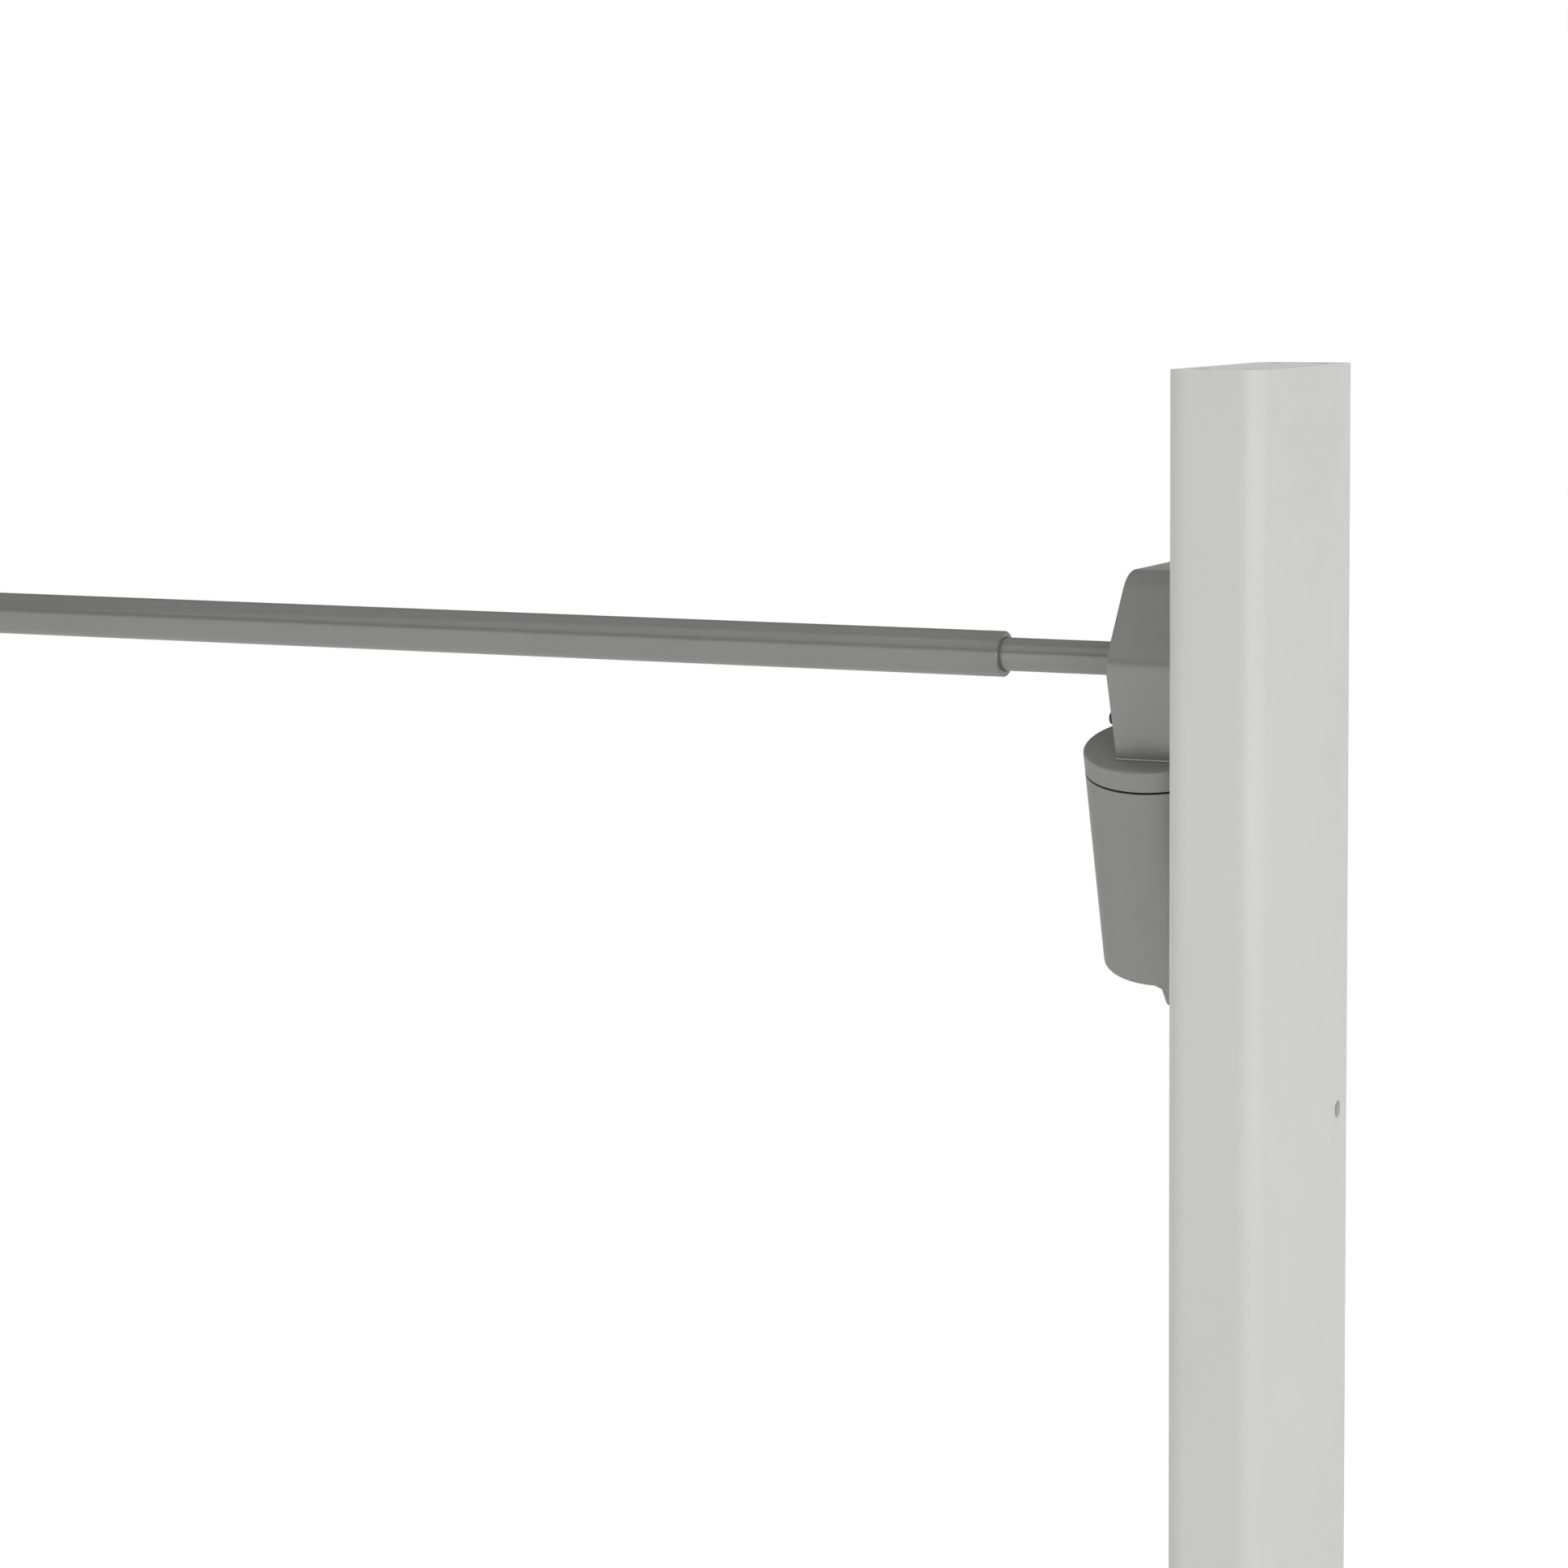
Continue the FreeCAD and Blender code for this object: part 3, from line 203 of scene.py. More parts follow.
def blackened_steel():
    colour = (0.045, 0.045, 0.048)
    material, tree, shader, place = new_finish("blackened_steel", colour, roughness=0.45, metallic=0.5)
    vary_colour(tree, shader, noise(tree, place, size=0.002, detail=3.0), colour, spread=0.15)
    vary_roughness(tree, shader, noise(tree, place, size=0.0008), low=0.36, high=0.55)
    relief(tree, shader, noise(tree, place, size=0.0002), depth=0.000006)
    return material


def seal_rubber():
    colour = (0.016, 0.016, 0.017)
    material, tree, shader, place = new_finish("seal_rubber", colour, roughness=0.75, specular=0.3)
    vary_colour(tree, shader, noise(tree, place, size=0.003), colour, spread=0.2)
    relief(tree, shader, noise(tree, place, size=0.0003, detail=3.0), depth=0.00002)
    return material


def slide_plastic():
    colour = (0.70, 0.70, 0.67)
    material, tree, shader, place = new_finish("slide_plastic", colour, roughness=0.5)
    vary_colour(tree, shader, noise(tree, place, size=0.02), colour, spread=0.02)
    vary_roughness(tree, shader, noise(tree, place, size=0.003, detail=3.0), low=0.42, high=0.58)
    relief(tree, shader, noise(tree, place, size=0.0004), depth=0.00001)
    return material


def sintered_bronze():
    colour = (0.50, 0.33, 0.15)
    material, tree, shader, place = new_finish("sintered_bronze", colour, roughness=0.42, metallic=1.0)
    vary_colour(tree, shader, noise(tree, place, size=0.001, detail=4.0), colour, spread=0.12)
    vary_roughness(tree, shader, noise(tree, place, size=0.0004, detail=3.0), low=0.34, high=0.55)
    relief(tree, shader, noise(tree, place, size=0.00015, detail=3.0), depth=0.00001)
    return material


def cast_alloy():
    colour = (0.55, 0.55, 0.56)
    material, tree, shader, place = new_finish("cast_alloy", colour, roughness=0.5, metallic=0.9)
    vary_colour(tree, shader, noise(tree, place, size=0.006, detail=4.0), colour, spread=0.08)
    vary_roughness(tree, shader, noise(tree, place, size=0.001, detail=3.0), low=0.42, high=0.62)
    relief(tree, shader, noise(tree, place, size=0.0008, detail=4.0), depth=0.00004)
    return material


def cut_steel():
    colour = (0.42, 0.42, 0.43)
    material, tree, shader, place = new_finish("cut_steel", colour, roughness=0.32, metallic=1.0)
    vary_colour(tree, shader, noise(tree, place, size=0.002, detail=3.0), colour, spread=0.06)
    vary_roughness(tree, shader, noise(tree, place, size=0.0005, detail=2.0), low=0.24, high=0.4)
    relief(tree, shader, noise(tree, place, size=0.0002, detail=2.0), depth=0.000005)
    return material


def bearing_steel():
    colour = (0.58, 0.58, 0.60)
    material, tree, shader, place = new_finish("bearing_steel", colour, roughness=0.2, metallic=1.0)
    vary_roughness(tree, shader, noise(tree, place, size=0.001, detail=3.0), low=0.15, high=0.28)
    relief(tree, shader, noise(tree, place, size=0.0003), depth=0.000003)
    return material


def varnished_iron():
    colour = (0.10, 0.10, 0.11)
    material, tree, shader, place = new_finish("varnished_iron", colour, roughness=0.5, metallic=0.4)
    vary_colour(tree, shader, noise(tree, place, size=0.003, detail=3.0), colour, spread=0.15)
    laminations = noise(tree, place, size=0.0005, detail=1.0, stretch=(6.0, 1.0, 1.0))
    relief(tree, shader, laminations, depth=0.00003)
    return material


def enamelled_copper():
    colour = (0.56, 0.22, 0.09)
    material, tree, shader, place = new_finish("enamelled_copper", colour, roughness=0.3, metallic=0.9)
    shades = noise(tree, place, size=0.0006, detail=2.0, stretch=(1.0, 1.0, 10.0))
    vary_colour(tree, shader, shades, colour, spread=0.2)
    wires = noise(tree, place, size=0.0004, detail=1.0, stretch=(1.0, 1.0, 14.0))
    relief(tree, shader, wires, depth=0.00008)
    return material


def pressed_carbon():
    colour = (0.03, 0.03, 0.032)
    material, tree, shader, place = new_finish("pressed_carbon", colour, roughness=0.6)
    vary_colour(tree, shader, noise(tree, place, size=0.0005, detail=3.0), colour, spread=0.3)
    relief(tree, shader, noise(tree, place, size=0.0002, detail=2.0), depth=0.00001)
    return material


finish_of_slot = {
    "light_paint": powder_coat(), "grey_housing": moulded_casing(), "grey_tube": tube_paint(),
    "shaft_steel": drawn_steel(), "dark_screw": blackened_steel(), "black_seal": seal_rubber(),
    "glide_plastic": slide_plastic(), "bronze": sintered_bronze(), "cast_aluminium": cast_alloy(),
    "gear_steel": cut_steel(), "bearing_steel": bearing_steel(), "core_iron": varnished_iron(),
    "copper": enamelled_copper(), "carbon": pressed_carbon(),
}
for name, node in nodes.items():
    node.data.materials.clear()
    node.data.materials.append(finish_of_slot[slot_of[name]])
print("finishes in use:", sorted({slot_of[name] for name in nodes}))

# %% [markdown]
# ## Surfaces from grids
# A new piece is a grid of points: rows run along one parameter and columns along the other. Such a
# piece could also be put together from cut and joined solids, but a grid keeps its faces even, and
# its shape is one formula that can be read and changed. The same few lines of index arithmetic give
# the faces of every one. Its columns always go round and close, and its rows close where the
# surface does.

# %% Grid helper
CREASE = math.radians(38.0)     # a fold sharper than this is shaded as an edge


def close_poles(mesh, reach=1e-7):
    """Makes one vertex of those within `reach` of each other, as at the middle of a screw's end."""
    work = bmesh.new()
    work.from_mesh(mesh)
    bmesh.ops.remove_doubles(work, verts=work.verts, dist=reach)
    work.to_mesh(mesh)
    work.free()


def full_turn(count):
    """Angles of `count` equal steps round a circle."""
    return np.linspace(0.0, 2 * math.pi, count, endpoint=False)


def turned(x, radius, angle, y, z):
    """Points of a surface turned about a line along X through (y, z). Row i lies at the distance
    x_i, and its column j at the radius r_ij and the angle a_j from +Y."""
    return np.stack([np.broadcast_to(x[:, None], radius.shape), y + radius * np.cos(angle),
                     z + radius * np.sin(angle)], axis=-1)


def grid_piece(name, points, slot, body, close_rows=False, flip=False, blocks=1):
    """Mesh from an array of points with the shape (rows, columns, 3). Each face joins a point with
    its next in the row and in the column, and the last column with the first; `close_rows` does the
    same for the rows. Several equal surfaces may be stacked in one array, as `blocks` of rows that
    aren't joined to each other. `flip` turns the faces over, where rows and columns run the other
    way round."""
    rows, columns = points.shape[:2]
    r = np.arange(rows if close_rows else rows - 1)
    if blocks > 1:
        r = r[(r + 1) % (rows // blocks) != 0]
    r = r[:, None]
    c = np.arange(columns)[None, :]
    r_next, c_next = (r + 1) % rows, (c + 1) % columns
    quads = np.stack([r * columns + c, r * columns + c_next,
                      r_next * columns + c_next, r_next * columns + c], axis=-1).reshape(-1, 4)
    if flip:
        quads = quads[:, ::-1]
    mesh = bpy.data.meshes.new(name)
    mesh.from_pydata(points.reshape(-1, 3).tolist(), [], quads.tolist())
    close_poles(mesh)
    mesh.shade_smooth()
    mesh.set_sharp_from_angle(angle=CREASE)
    piece = bpy.data.objects.new(name, mesh)
    bpy.context.scene.collection.objects.link(piece)
    mesh.materials.append(finish_of_slot[slot])
    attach(piece, body)
    print(name, "has", len(quads), "faces")
    return piece


# %% [markdown]
# ## Weld between the lower tube and the foot plate
# A welding gun lays metal in small overlapping drops, so the bead is a rounded corner fillet with a
# ripple every millimetre or so, and the hand that leads the gun is never quite steady. Bump alone
# would leave the bead's outline straight, so the ripple is in the shape. The path is the tube's
# rounded outline; the section is carried round it and swells with both.

# %% Weld bead
def rounded_outline(half_x, half_y, corner, count):
    """Points and outward directions of a rounded rectangle, evenly spaced by length. Along each
    straight the outward direction stays; round a corner it turns with the arc."""
    sides = np.array([2 * (half_y - corner), 2 * (half_x - corner)] * 2)
    lengths = np.stack([sides, np.full(4, math.pi / 2 * corner)], axis=1).ravel()
    starts = np.concatenate([[0.0], np.cumsum(lengths)])
    s = np.linspace(0.0, starts[-1], count, endpoint=False)
    part = np.searchsorted(starts, s, side="right") - 1
    along = s - starts[part]
    side, on_arc = part // 2, part % 2 == 1
    angle = side * math.pi / 2 + np.where(on_arc, along / corner, 0.0)
    outward = np.stack([np.cos(angle), np.sin(angle)], axis=1)
    base = side * math.pi / 2
    centres = np.array([[1, 1], [-1, 1], [-1, -1], [1, -1]]) * [half_x - corner, half_y - corner]
    centre = centres[side]
    forward = np.stack([-np.sin(base), np.cos(base)], axis=1)
    back = np.where(on_arc, 0.0, along - sides[side])
    return centre + outward * corner + forward * back[:, None], outward, s


def weld_bead(leg=0.0026, sink=0.0004, drop=0.0012, corner=0.005, count=1400):
    """Fillet weld: at length s the section is a bulged triangle of leg a(s) = a (1 + ripple +
    waver), with the bulge running from the plate to the tube. The ripple is 7% of a half sine for
    each drop, the waver 3% of a sine ten centimetres long. The bead's back lies `sink` inside the
    tube and the plate."""
    low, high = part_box("lower_profile")
    plate_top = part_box("foot_plate")[1].z
    path, outward, s = rounded_outline((high.x - low.x) / 2, (high.y - low.y) / 2, corner, count)
    ripple = 0.07 * np.abs(np.sin(math.pi * s / drop))
    waver = 0.03 * np.sin(s * 61.0)
    swell = 1 + ripple + waver
    t = np.linspace(0.0, 1.0, 7)
    bulge = np.sin(math.pi * t) * 0.18
    out = np.concatenate([leg * (1 - t + bulge), [-sink, -sink]])
    up = np.concatenate([leg * (t + bulge), [leg, -sink]])
    points = np.empty((len(s), len(out), 3))
    reach = out[None, :] * swell[:, None]
    points[..., :2] = path[:, None, :] + outward[:, None, :] * reach[..., None]
    points[..., 2] = plate_top + up[None, :] * swell[:, None]
    return grid_piece("foot_weld", points, "light_paint", "lower_column", close_rows=True, flip=True)


weld_bead()

# %% [markdown]
# ## Threads in the top plate
# The support arm is screwed to four tapped holes. A profile could be wound round with the Screw
# modifier, but its two ends would need trimming. A tapped hole is a hole whose wall goes in and out
# once for each turn, so here the thread is a sleeve whose radius follows the fraction of a turn,
# and it ends where its rows end.

# %% Tapped holes
def tapped_hole(name, x, y, low, high, hole_r,
                pitch=0.00125, depth=0.00035, bury=0.0002, inset=0.0004):
    """Sleeve with inner radius r(angle, z) = hole - depth * crest, where crest is a triangle wave
    of z / pitch - angle / full turn. It stops `inset` short of the plate's two faces, and its outer
    wall stands `bury` outside the hole, in the metal."""
    angle = full_turn(48)
    z = np.linspace(low + inset, high - inset, 60)
    phase = z[:, None] / pitch - angle[None, :] / (2 * math.pi)
    crest = 1 - np.abs(2 * (phase - np.floor(phase)) - 1)
    radius = np.concatenate([hole_r - depth * crest, np.full((2, len(angle)), hole_r + bury)])
    level = np.concatenate([z, [z[-1], z[0]]])
    points = np.stack([x + radius * np.cos(angle), y + radius * np.sin(angle),
                       np.broadcast_to(level[:, None], radius.shape)], axis=-1)
    return grid_piece(name, points, "light_paint", "upper_column", close_rows=True, flip=True)


holes = mounts["top_bolts"]["dims"]
half_x, half_y = holes["spacing_x_mm"] / 2000, holes["spacing_y_mm"] / 2000
plate_low, plate_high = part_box("top_plate")
for n, (side_x, side_y) in enumerate([(-1, -1), (-1, 1), (1, -1), (1, 1)]):
    tapped_hole(f"top_thread_{n}", side_x * half_x, side_y * half_y, plate_low.z, plate_high.z,
                holes["hole_r_mm"] / 1000)

# %% [markdown]
# ## Screws in the gearbox cover
# Four low button-head screws with a hexagon socket hold the cover to its frame. A socket could be
# cut with a six-sided solid, which leaves ragged faces round its mouth. Here the whole screw is
# turned like on a lathe: up the shank, over the dome and down into the socket. Only the socket
# isn't round, so its radius follows the hexagon instead of the circle. The heads stand where the
# frame has them.

# %% Button-head screws
def turned_screw(y, z, tip_x, seat_x, face_x,
                 shank_r=0.0018, head_r=0.0028, socket_r=0.00135, deep=0.0012):
    """Points of one screw along X, its head towards -X. Row i has a distance x_i and a radius r_i:
    up the shank, under the head, over the dome, and down a chamfer into the socket. There the
    radius is the hexagon's, 0.94 r / cos(a), where a is the angle from the middle of its side."""
    head = seat_x - face_x
    rim, chamfer = 0.25 * head, 0.1 * head
    face_r, mouth_r = 1.35 * socket_r, 1.15 * socket_r
    t = np.linspace(0.0, math.pi / 2, 8)
    dome_x = seat_x - rim - (head - rim) * np.sin(t)
    dome_r = head_r - (head_r - face_r) * (1 - np.cos(t)) ** 0.9
    socket_x = [face_x, face_x + chamfer, face_x + deep, face_x + deep]
    x = np.concatenate([[tip_x, tip_x, seat_x, seat_x], dome_x, socket_x])
    r = np.concatenate([[0.0, shank_r, shank_r, head_r], dome_r, [mouth_r, socket_r, socket_r, 0.0]])
    angle = full_turn(72)
    hexagon = 1 / np.cos(np.mod(angle, math.pi / 3) - math.pi / 6)
    hexed = np.concatenate([np.zeros(len(x) - 3), [1.0, 1.0, 1.0]])[:, None]
    radius = r[:, None] * (1 + hexed * (hexagon[None, :] * 0.94 - 1))
    return turned(x, radius, angle, y, z)


def vertices_of(node):
    """A CAD node's vertices, one row each."""
    flat = np.empty(3 * len(nodes[node].data.vertices))
    nodes[node].data.vertices.foreach_get("co", flat)
    return flat.reshape(-1, 3)


def loose_parts(node, reach=0.008):
    """Centres in Y and Z of a node's separate solids. Those vertices that lie within `reach` of the
    first one left make up a solid, and its centre is the middle of their box."""
    yz = vertices_of(node)[:, 1:]
    centres = []
    while len(yz):
        near = np.linalg.norm(yz - yz[0], axis=1) < reach
        centres.append((yz[near].min(axis=0) + yz[near].max(axis=0)) / 2)
        yz = yz[~near]
    return centres


screw_low, screw_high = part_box("cover_screws")
seat_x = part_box("gearbox_housing")[0].x
places = loose_parts("cover_screws")
screws = [turned_screw(y, z, screw_high.x, seat_x, screw_low.x) for y, z in places]
joined = grid_piece("socket_screws", np.concatenate(screws), "dark_screw", "upper_column",
                    blocks=len(screws), flip=True)
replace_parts(joined, "cover_screws")
print("screw heads at", [tuple(round(float(v), 4) for v in place) for place in places])

# %% [markdown]
# ## The gearbox's foot
# The cover ends on the motor's lid in a fine lip, a few tenths of a millimetre out from the wall.
# Its finish is a lighter grey than the cover's: a painted highlight, for the thin bright line that
# the edge would catch. The cover's solid stays as it is, so the lip is a piece of its own: a round
# bead carried along the wall's foot. The motor's axis is tilted, so the foot is found in the motor's
# own frame: it is what lies lowest along the axis.

# %% Foot lip
tilt = math.radians(15.0)
down = np.array([0.0, math.sin(tilt), -math.cos(tilt)])
across = np.array([0.0, math.cos(tilt), math.sin(tilt)])
cover = vertices_of("gearbox_housing")
foot_level = (cover @ down).max()
lowest_tenth = cover @ down > foot_level - 0.0001       # the cover's lowest tenth of a millimetre
foot_front, foot_left = (cover[lowest_tenth] @ across).min(), cover[lowest_tenth][:, 0].min()
print("the foot lies", round(foot_level, 4), "m along the axis and", round(foot_front, 4), "m across")


def foot_lip(bead_r=0.0004, corner=0.0008, out=0.0008, inset=0.0003, length_back=0.03):
    """Bead round a path with one corner: along the front, a quarter turn, and back along the outer
    side. The path lies `out` outside the foot's edge, where the wall above it is. A point of the
    section at angle a lies r (cos a) outwards and r (sin a) up from the path, and each end closes
    to a point."""
    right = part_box("gearbox_frame")[1].x - inset
    along_front = np.linspace(right, foot_left + corner, 40)
    turn = np.linspace(0.0, math.pi / 2, 9)[1:-1]
    along_side = np.linspace(foot_front + corner, foot_front + length_back, 20)
    x = np.concatenate([along_front, foot_left + corner * (1 - np.sin(turn)), np.full(20, foot_left)])
    v = np.concatenate([np.full(40, foot_front), foot_front + corner * (1 - np.cos(turn)), along_side])
    facing = np.concatenate([np.zeros(40), turn, np.full(20, math.pi / 2)])
    outward = -np.sin(facing)[:, None] * [1.0, 0.0, 0.0] - np.cos(facing)[:, None] * across
    path = x[:, None] * [1.0, 0.0, 0.0] + v[:, None] * across + (foot_level - bead_r) * down
    path = path + outward * out
    angle = full_turn(14)
    swing = outward[:, None, :] * np.cos(angle)[None, :, None] - down * np.sin(angle)[None, :, None]
    points = path[:, None, :] + bead_r * swing
    first, last = [np.broadcast_to(path[end], (1, *points[0].shape)) for end in (0, -1)]
    points = np.concatenate([first, points, last])
    return grid_piece("foot_lip", points, "grey_housing", "upper_column")


lip = foot_lip()
# Painted highlight: the lip takes a lighter grey than the cover, for its bright line.
lip.data.materials[0] = painted_highlight_edge()

# %% [markdown]
# ## The cross tube
# The tube is drawn steel under grey paint, with rounded rims, and reamed a little wider at its far
# end for the next leg's shaft. Two pins hold the key inside it, and each was knocked in until it lay in a shallow dimple.
# Spinning a profile would make the tube but not the dimples. As a grid it has both: a closed
# profile of distances and radii goes round, and the dimples are pressed into the radii after.

# %% Cross tube
def gaps_between(values, gap):
    """Middles of the groups that sorted values fall into, where a step larger than `gap` parts
    them."""
    values = np.sort(values)
    starts = np.concatenate([[0], np.flatnonzero(np.diff(values) > gap) + 1])
    ends = np.concatenate([starts[1:], [len(values)]]) - 1
    return (values[starts] + values[ends]) / 2


def drawn_tube(bore_r=0.00735, reamed_r=0.0076, reamed=0.030, rim=0.0008,
               dimple_r=0.0017, deep=0.0007):
    """Row i has a distance x_i and a radius r_i, column j an angle a_j from +Y. A dimple takes deep
    (1 - (d / its radius)^8) off the tube's radius at a distance d from a pin's axis, and nothing
    beyond its own radius. The rows lie closer together there."""
    low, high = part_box("cross_tube")
    tube_r = (high.z - low.z) / 2
    y, z = (low.y + high.y) / 2, (low.z + high.z) / 2
    pins = gaps_between(vertices_of("key_pins")[:, 0], gap=0.003)
    t = np.linspace(0.0, math.pi / 2, 6)
    near_pin = np.linspace(-0.0024, 0.0024, 25)         # a row every fifth of a millimetre
    fine = np.concatenate([pin + near_pin for pin in pins])
    outer_x = np.sort(np.concatenate([np.linspace(low.x + rim, high.x - rim, 90), fine]))
    near_x, near_r = high.x - rim + rim * np.sin(t), tube_r - rim + rim * np.cos(t)
    bore_x = np.linspace(high.x, low.x + reamed, 40)
    reamed_x = np.linspace(low.x + reamed, low.x, 6)
    far_x, far_r = low.x + rim - rim * np.cos(t), tube_r - rim + rim * np.sin(t)
    x = np.concatenate([outer_x, near_x[1:], bore_x, reamed_x, far_x[:-1]])
    r = np.concatenate([np.full(len(outer_x), tube_r), near_r[1:], np.full(40, bore_r),
                        np.full(6, reamed_r), far_r[:-1]])
    angle = full_turn(128)
    radius = np.broadcast_to(r[:, None], (len(r), len(angle))).copy()
    sideways = tube_r * np.sin(angle)[None, :]
    facing = (np.cos(angle) > 0)[None, :] & (r[:, None] > bore_r + rim)
    for pin in pins:
        d = np.hypot(x[:, None] - pin, sideways)
        radius -= np.where(facing & (d < dimple_r), deep * (1 - (d / dimple_r) ** 8), 0.0)
    print("pins at", [round(float(pin), 4) for pin in pins], "tube radius", round(tube_r, 5))
    return grid_piece("drawn_tube", turned(x, radius, angle, y, z), "grey_tube", "cross_tube",
                      close_rows=True)


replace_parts(drawn_tube(), "cross_tube")

# %% [markdown]
# ## The stage
# The floor and the far background are white to the eye. The floor is a light grey card, and Light
# Path adds a faint glow only where the eye meets it, directly or in a reflection, so most of its
# white is still light that falls on it and the object's shadow stays. The world gives soft light
# from overhead to the surfaces. Its backdrop is the same to the eye and in a reflection: white to
# well over the horizon and dark high up, as it is under a desk, which makes the lower half of a
# round bar the lighter one.

# %% Floor and world
def seen_directly(tree):
    """1 for what the camera sees, also by way of a reflection or through glass, and 0 for bounced
    light."""
    path = tree.nodes.new("ShaderNodeLightPath")
    either = tree.nodes.new("ShaderNodeMath")
    either.operation = "MAXIMUM"
    tree.links.new(path.outputs["Is Glossy Ray"], either.inputs[0])
    tree.links.new(path.outputs["Is Transmission Ray"], either.inputs[1])
    seen = tree.nodes.new("ShaderNodeMath")
    seen.operation = "MAXIMUM"
    tree.links.new(path.outputs["Is Camera Ray"], seen.inputs[0])
    tree.links.new(either.outputs[0], seen.inputs[1])
    return seen.outputs[0]


def make_floor(half=9.0, gap=0.0002, grey=0.8, faint=0.24):
    """A flat sheet, a hair under the object so that the two don't lie in one plane. Bounced light
    finds plain grey card, and the eye finds the same card with a faint glow, so that it is white as
    far as it reaches and the object still casts its shadow on it."""
    mesh = bpy.data.meshes.new("floor")
    corners = [(-half, -half, 0), (half, -half, 0), (half, half, 0), (-half, half, 0)]
    mesh.from_pydata(corners, [], [(0, 1, 2, 3)])
    floor = bpy.data.objects.new("floor", mesh)
    bpy.context.scene.collection.objects.link(floor)
    floor.location.z = -gap
    material = bpy.data.materials.new("pale_floor")
    material.use_nodes = True
    tree = material.node_tree
    tree.nodes.clear()
    card = tree.nodes.new("ShaderNodeBsdfDiffuse")
    card.inputs["Color"].default_value = (grey, grey, grey, 1)
    glow = tree.nodes.new("ShaderNodeEmission")
    glow.inputs["Strength"].default_value = faint
    both = tree.nodes.new("ShaderNodeAddShader")
    mix = tree.nodes.new("ShaderNodeMixShader")
    out = tree.nodes.new("ShaderNodeOutputMaterial")
    tree.links.new(card.outputs[0], both.inputs[0])
    tree.links.new(glow.outputs[0], both.inputs[1])
    tree.links.new(seen_directly(tree), mix.inputs["Fac"])
    tree.links.new(card.outputs[0], mix.inputs[1])
    tree.links.new(both.outputs[0], mix.inputs[2])
    tree.links.new(mix.outputs[0], out.inputs["Surface"])
    mesh.materials.append(material)
    print("floor:", 2 * half, "m across")


def by_height(tree, heights, levels):
    """Level by the height of the direction looked in, which is -1 straight down, 0 at the horizon
    and 1 overhead. It runs straight from the first level at the first height to the second at the
    second."""
    place = tree.nodes.new("ShaderNodeTexCoord")
    split = tree.nodes.new("ShaderNodeSeparateXYZ")
    tree.links.new(place.outputs["Generated"], split.inputs[0])
    halved = tree.nodes.new("ShaderNodeMath")
    halved.operation = "MULTIPLY_ADD"
    halved.inputs[1].default_value = halved.inputs[2].default_value = 0.5
    tree.links.new(split.outputs["Z"], halved.inputs[0])
    ramp = tree.nodes.new("ShaderNodeValToRGB")
    for element, height, level in zip(ramp.color_ramp.elements, heights, levels):
        element.position = (height + 1) / 2
        element.color = (level, level, level, 1)
    tree.links.new(halved.outputs[0], ramp.inputs["Fac"])
    return ramp.outputs["Color"]


def background(tree, level, strength=1.0):
    """Background that shines with a level of its strength."""
    node = tree.nodes.new("ShaderNodeBackground")
    node.inputs["Strength"].default_value = strength
    tree.links.new(level, node.inputs["Color"])
    return node.outputs[0]


def make_world(overhead=1.28):
    """Soft light from overhead for the matt part of the surfaces. The camera, reflections and glass
    all find one and the same backdrop: white from the floor to well over the horizon, and dark high
    up."""
    world = bpy.data.worlds.new("studio")
    bpy.context.scene.world = world
    world.use_nodes = True
    tree = world.node_tree
    tree.nodes.clear()
    mix = tree.nodes.new("ShaderNodeMixShader")
    out = tree.nodes.new("ShaderNodeOutputWorld")
    tree.links.new(seen_directly(tree), mix.inputs["Fac"])
    dome = background(tree, by_height(tree, heights=(0.45, 0.55), levels=(0.0, 1.0)), overhead)
    backdrop = background(tree, by_height(tree, heights=(0.18, 0.24), levels=(1.0, 0.0)))
    tree.links.new(dome, mix.inputs[1])
    tree.links.new(backdrop, mix.inputs[2])
    tree.links.new(mix.outputs[0], out.inputs["Surface"])
    print("world: overhead light", overhead)


make_floor()
make_world()

# %% [markdown]
# ## Lamps
# The object stands on a pale floor that throws light up from below, so its lower facets are lighter
# than its upper ones. Three broad lamps stand low round the column's corner. Its two faces get
# nearly the same light, and the rounded corner between them gets most. A fourth lamp, high on the
# other side, only draws a faint sheen along the upper half of the round bars and on the gearbox's
# ridge. Between it and the white backdrop stays a thin darker line on every bar, which mirrors the
# dark gap between the two.

# %% Lamps
middle = (cad_box[0] + cad_box[1]) / 2


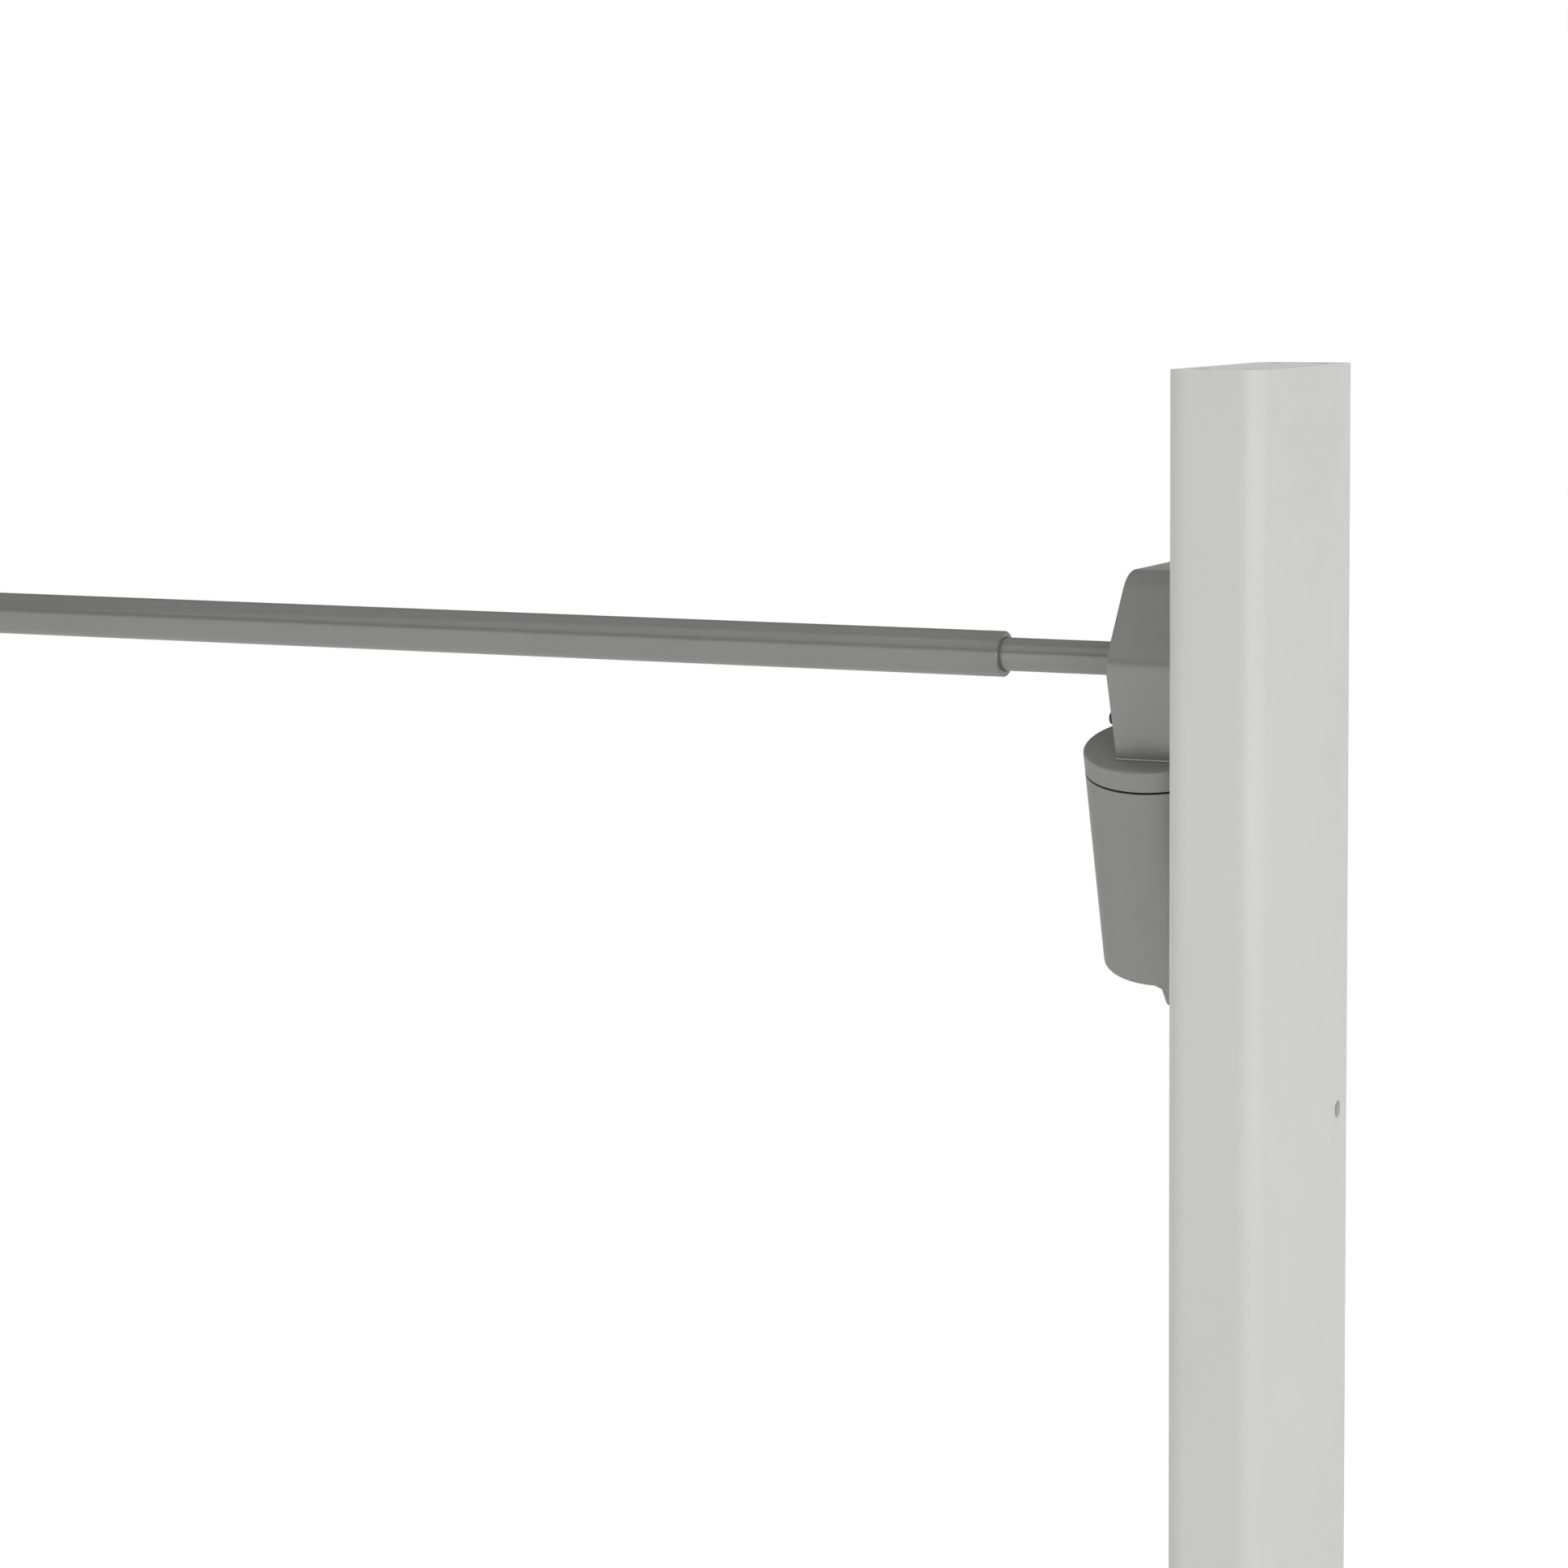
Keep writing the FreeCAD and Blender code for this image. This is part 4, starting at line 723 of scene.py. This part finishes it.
def soft_lamp(name, azimuth, elevation, size, power, distance=2.6, sheen_only=False):
    """Square lamp aimed at the object's middle. Azimuth 0 is towards -Y and 90 towards +X, in
    degrees. A lamp for sheen only is seen in reflections and adds nothing to the matt part of a
    surface."""
    a, e = math.radians(azimuth), math.radians(elevation)
    away = Vector((math.sin(a) * math.cos(e), -math.cos(a) * math.cos(e), math.sin(e)))
    data = bpy.data.lights.new(name, "AREA")
    data.shape, data.size, data.energy = "SQUARE", size, power
    lamp = bpy.data.objects.new(name, data)
    bpy.context.scene.collection.objects.link(lamp)
    lamp.location = middle + away * distance
    lamp.rotation_mode = "QUATERNION"
    lamp.rotation_quaternion = away.to_track_quat("Z", "Y")
    lamp.visible_camera = False
    lamp.visible_diffuse = not sheen_only
    print(name, "at", [round(v, 2) for v in lamp.location], power, "W")


soft_lamp("front_lamp", azimuth=27.0, elevation=4.0, size=1.3, power=6.7)
soft_lamp("corner_lamp", azimuth=50.0, elevation=4.0, size=0.8, power=7.5)
soft_lamp("side_lamp", azimuth=85.0, elevation=4.0, size=1.3, power=4.9)
soft_lamp("sheen_lamp", azimuth=-28.0, elevation=50.0, size=1.7, power=4.0, sheen_only=True)

# %% [markdown]
# ## Camera
# A long lens from a little above the drive, off the column's corner. Tilting the camera further
# down would make the column's edges lean, so the lens is shifted a little instead, and the column
# stays upright.

# %% Camera
def turn(degrees, axis):
    """Turn about one axis, as a matrix."""
    return Matrix.Rotation(math.radians(degrees), 3, axis)


eye = (0.4661, -1.3967, 0.6594)
pan, dip, roll = 23.687, 5.077, -0.249      # degrees: to the left, down, round the line of sight
data = bpy.data.cameras.new("camera")
data.lens, data.shift_x, data.shift_y = 84.83, -0.09, -0.12
data.clip_start, data.clip_end = 0.05, 60.0
camera = bpy.data.objects.new("camera", data)
bpy.context.scene.collection.objects.link(camera)
camera.location = eye
camera.rotation_euler = (turn(pan, "Z") @ turn(90.0 - dip, "X") @ turn(roll, "Z")).to_euler()
bpy.context.scene.camera = camera
bpy.context.scene.view_settings.view_transform = "Standard"
print("camera", round((camera.location - middle).length, 2), "m from the object's middle")
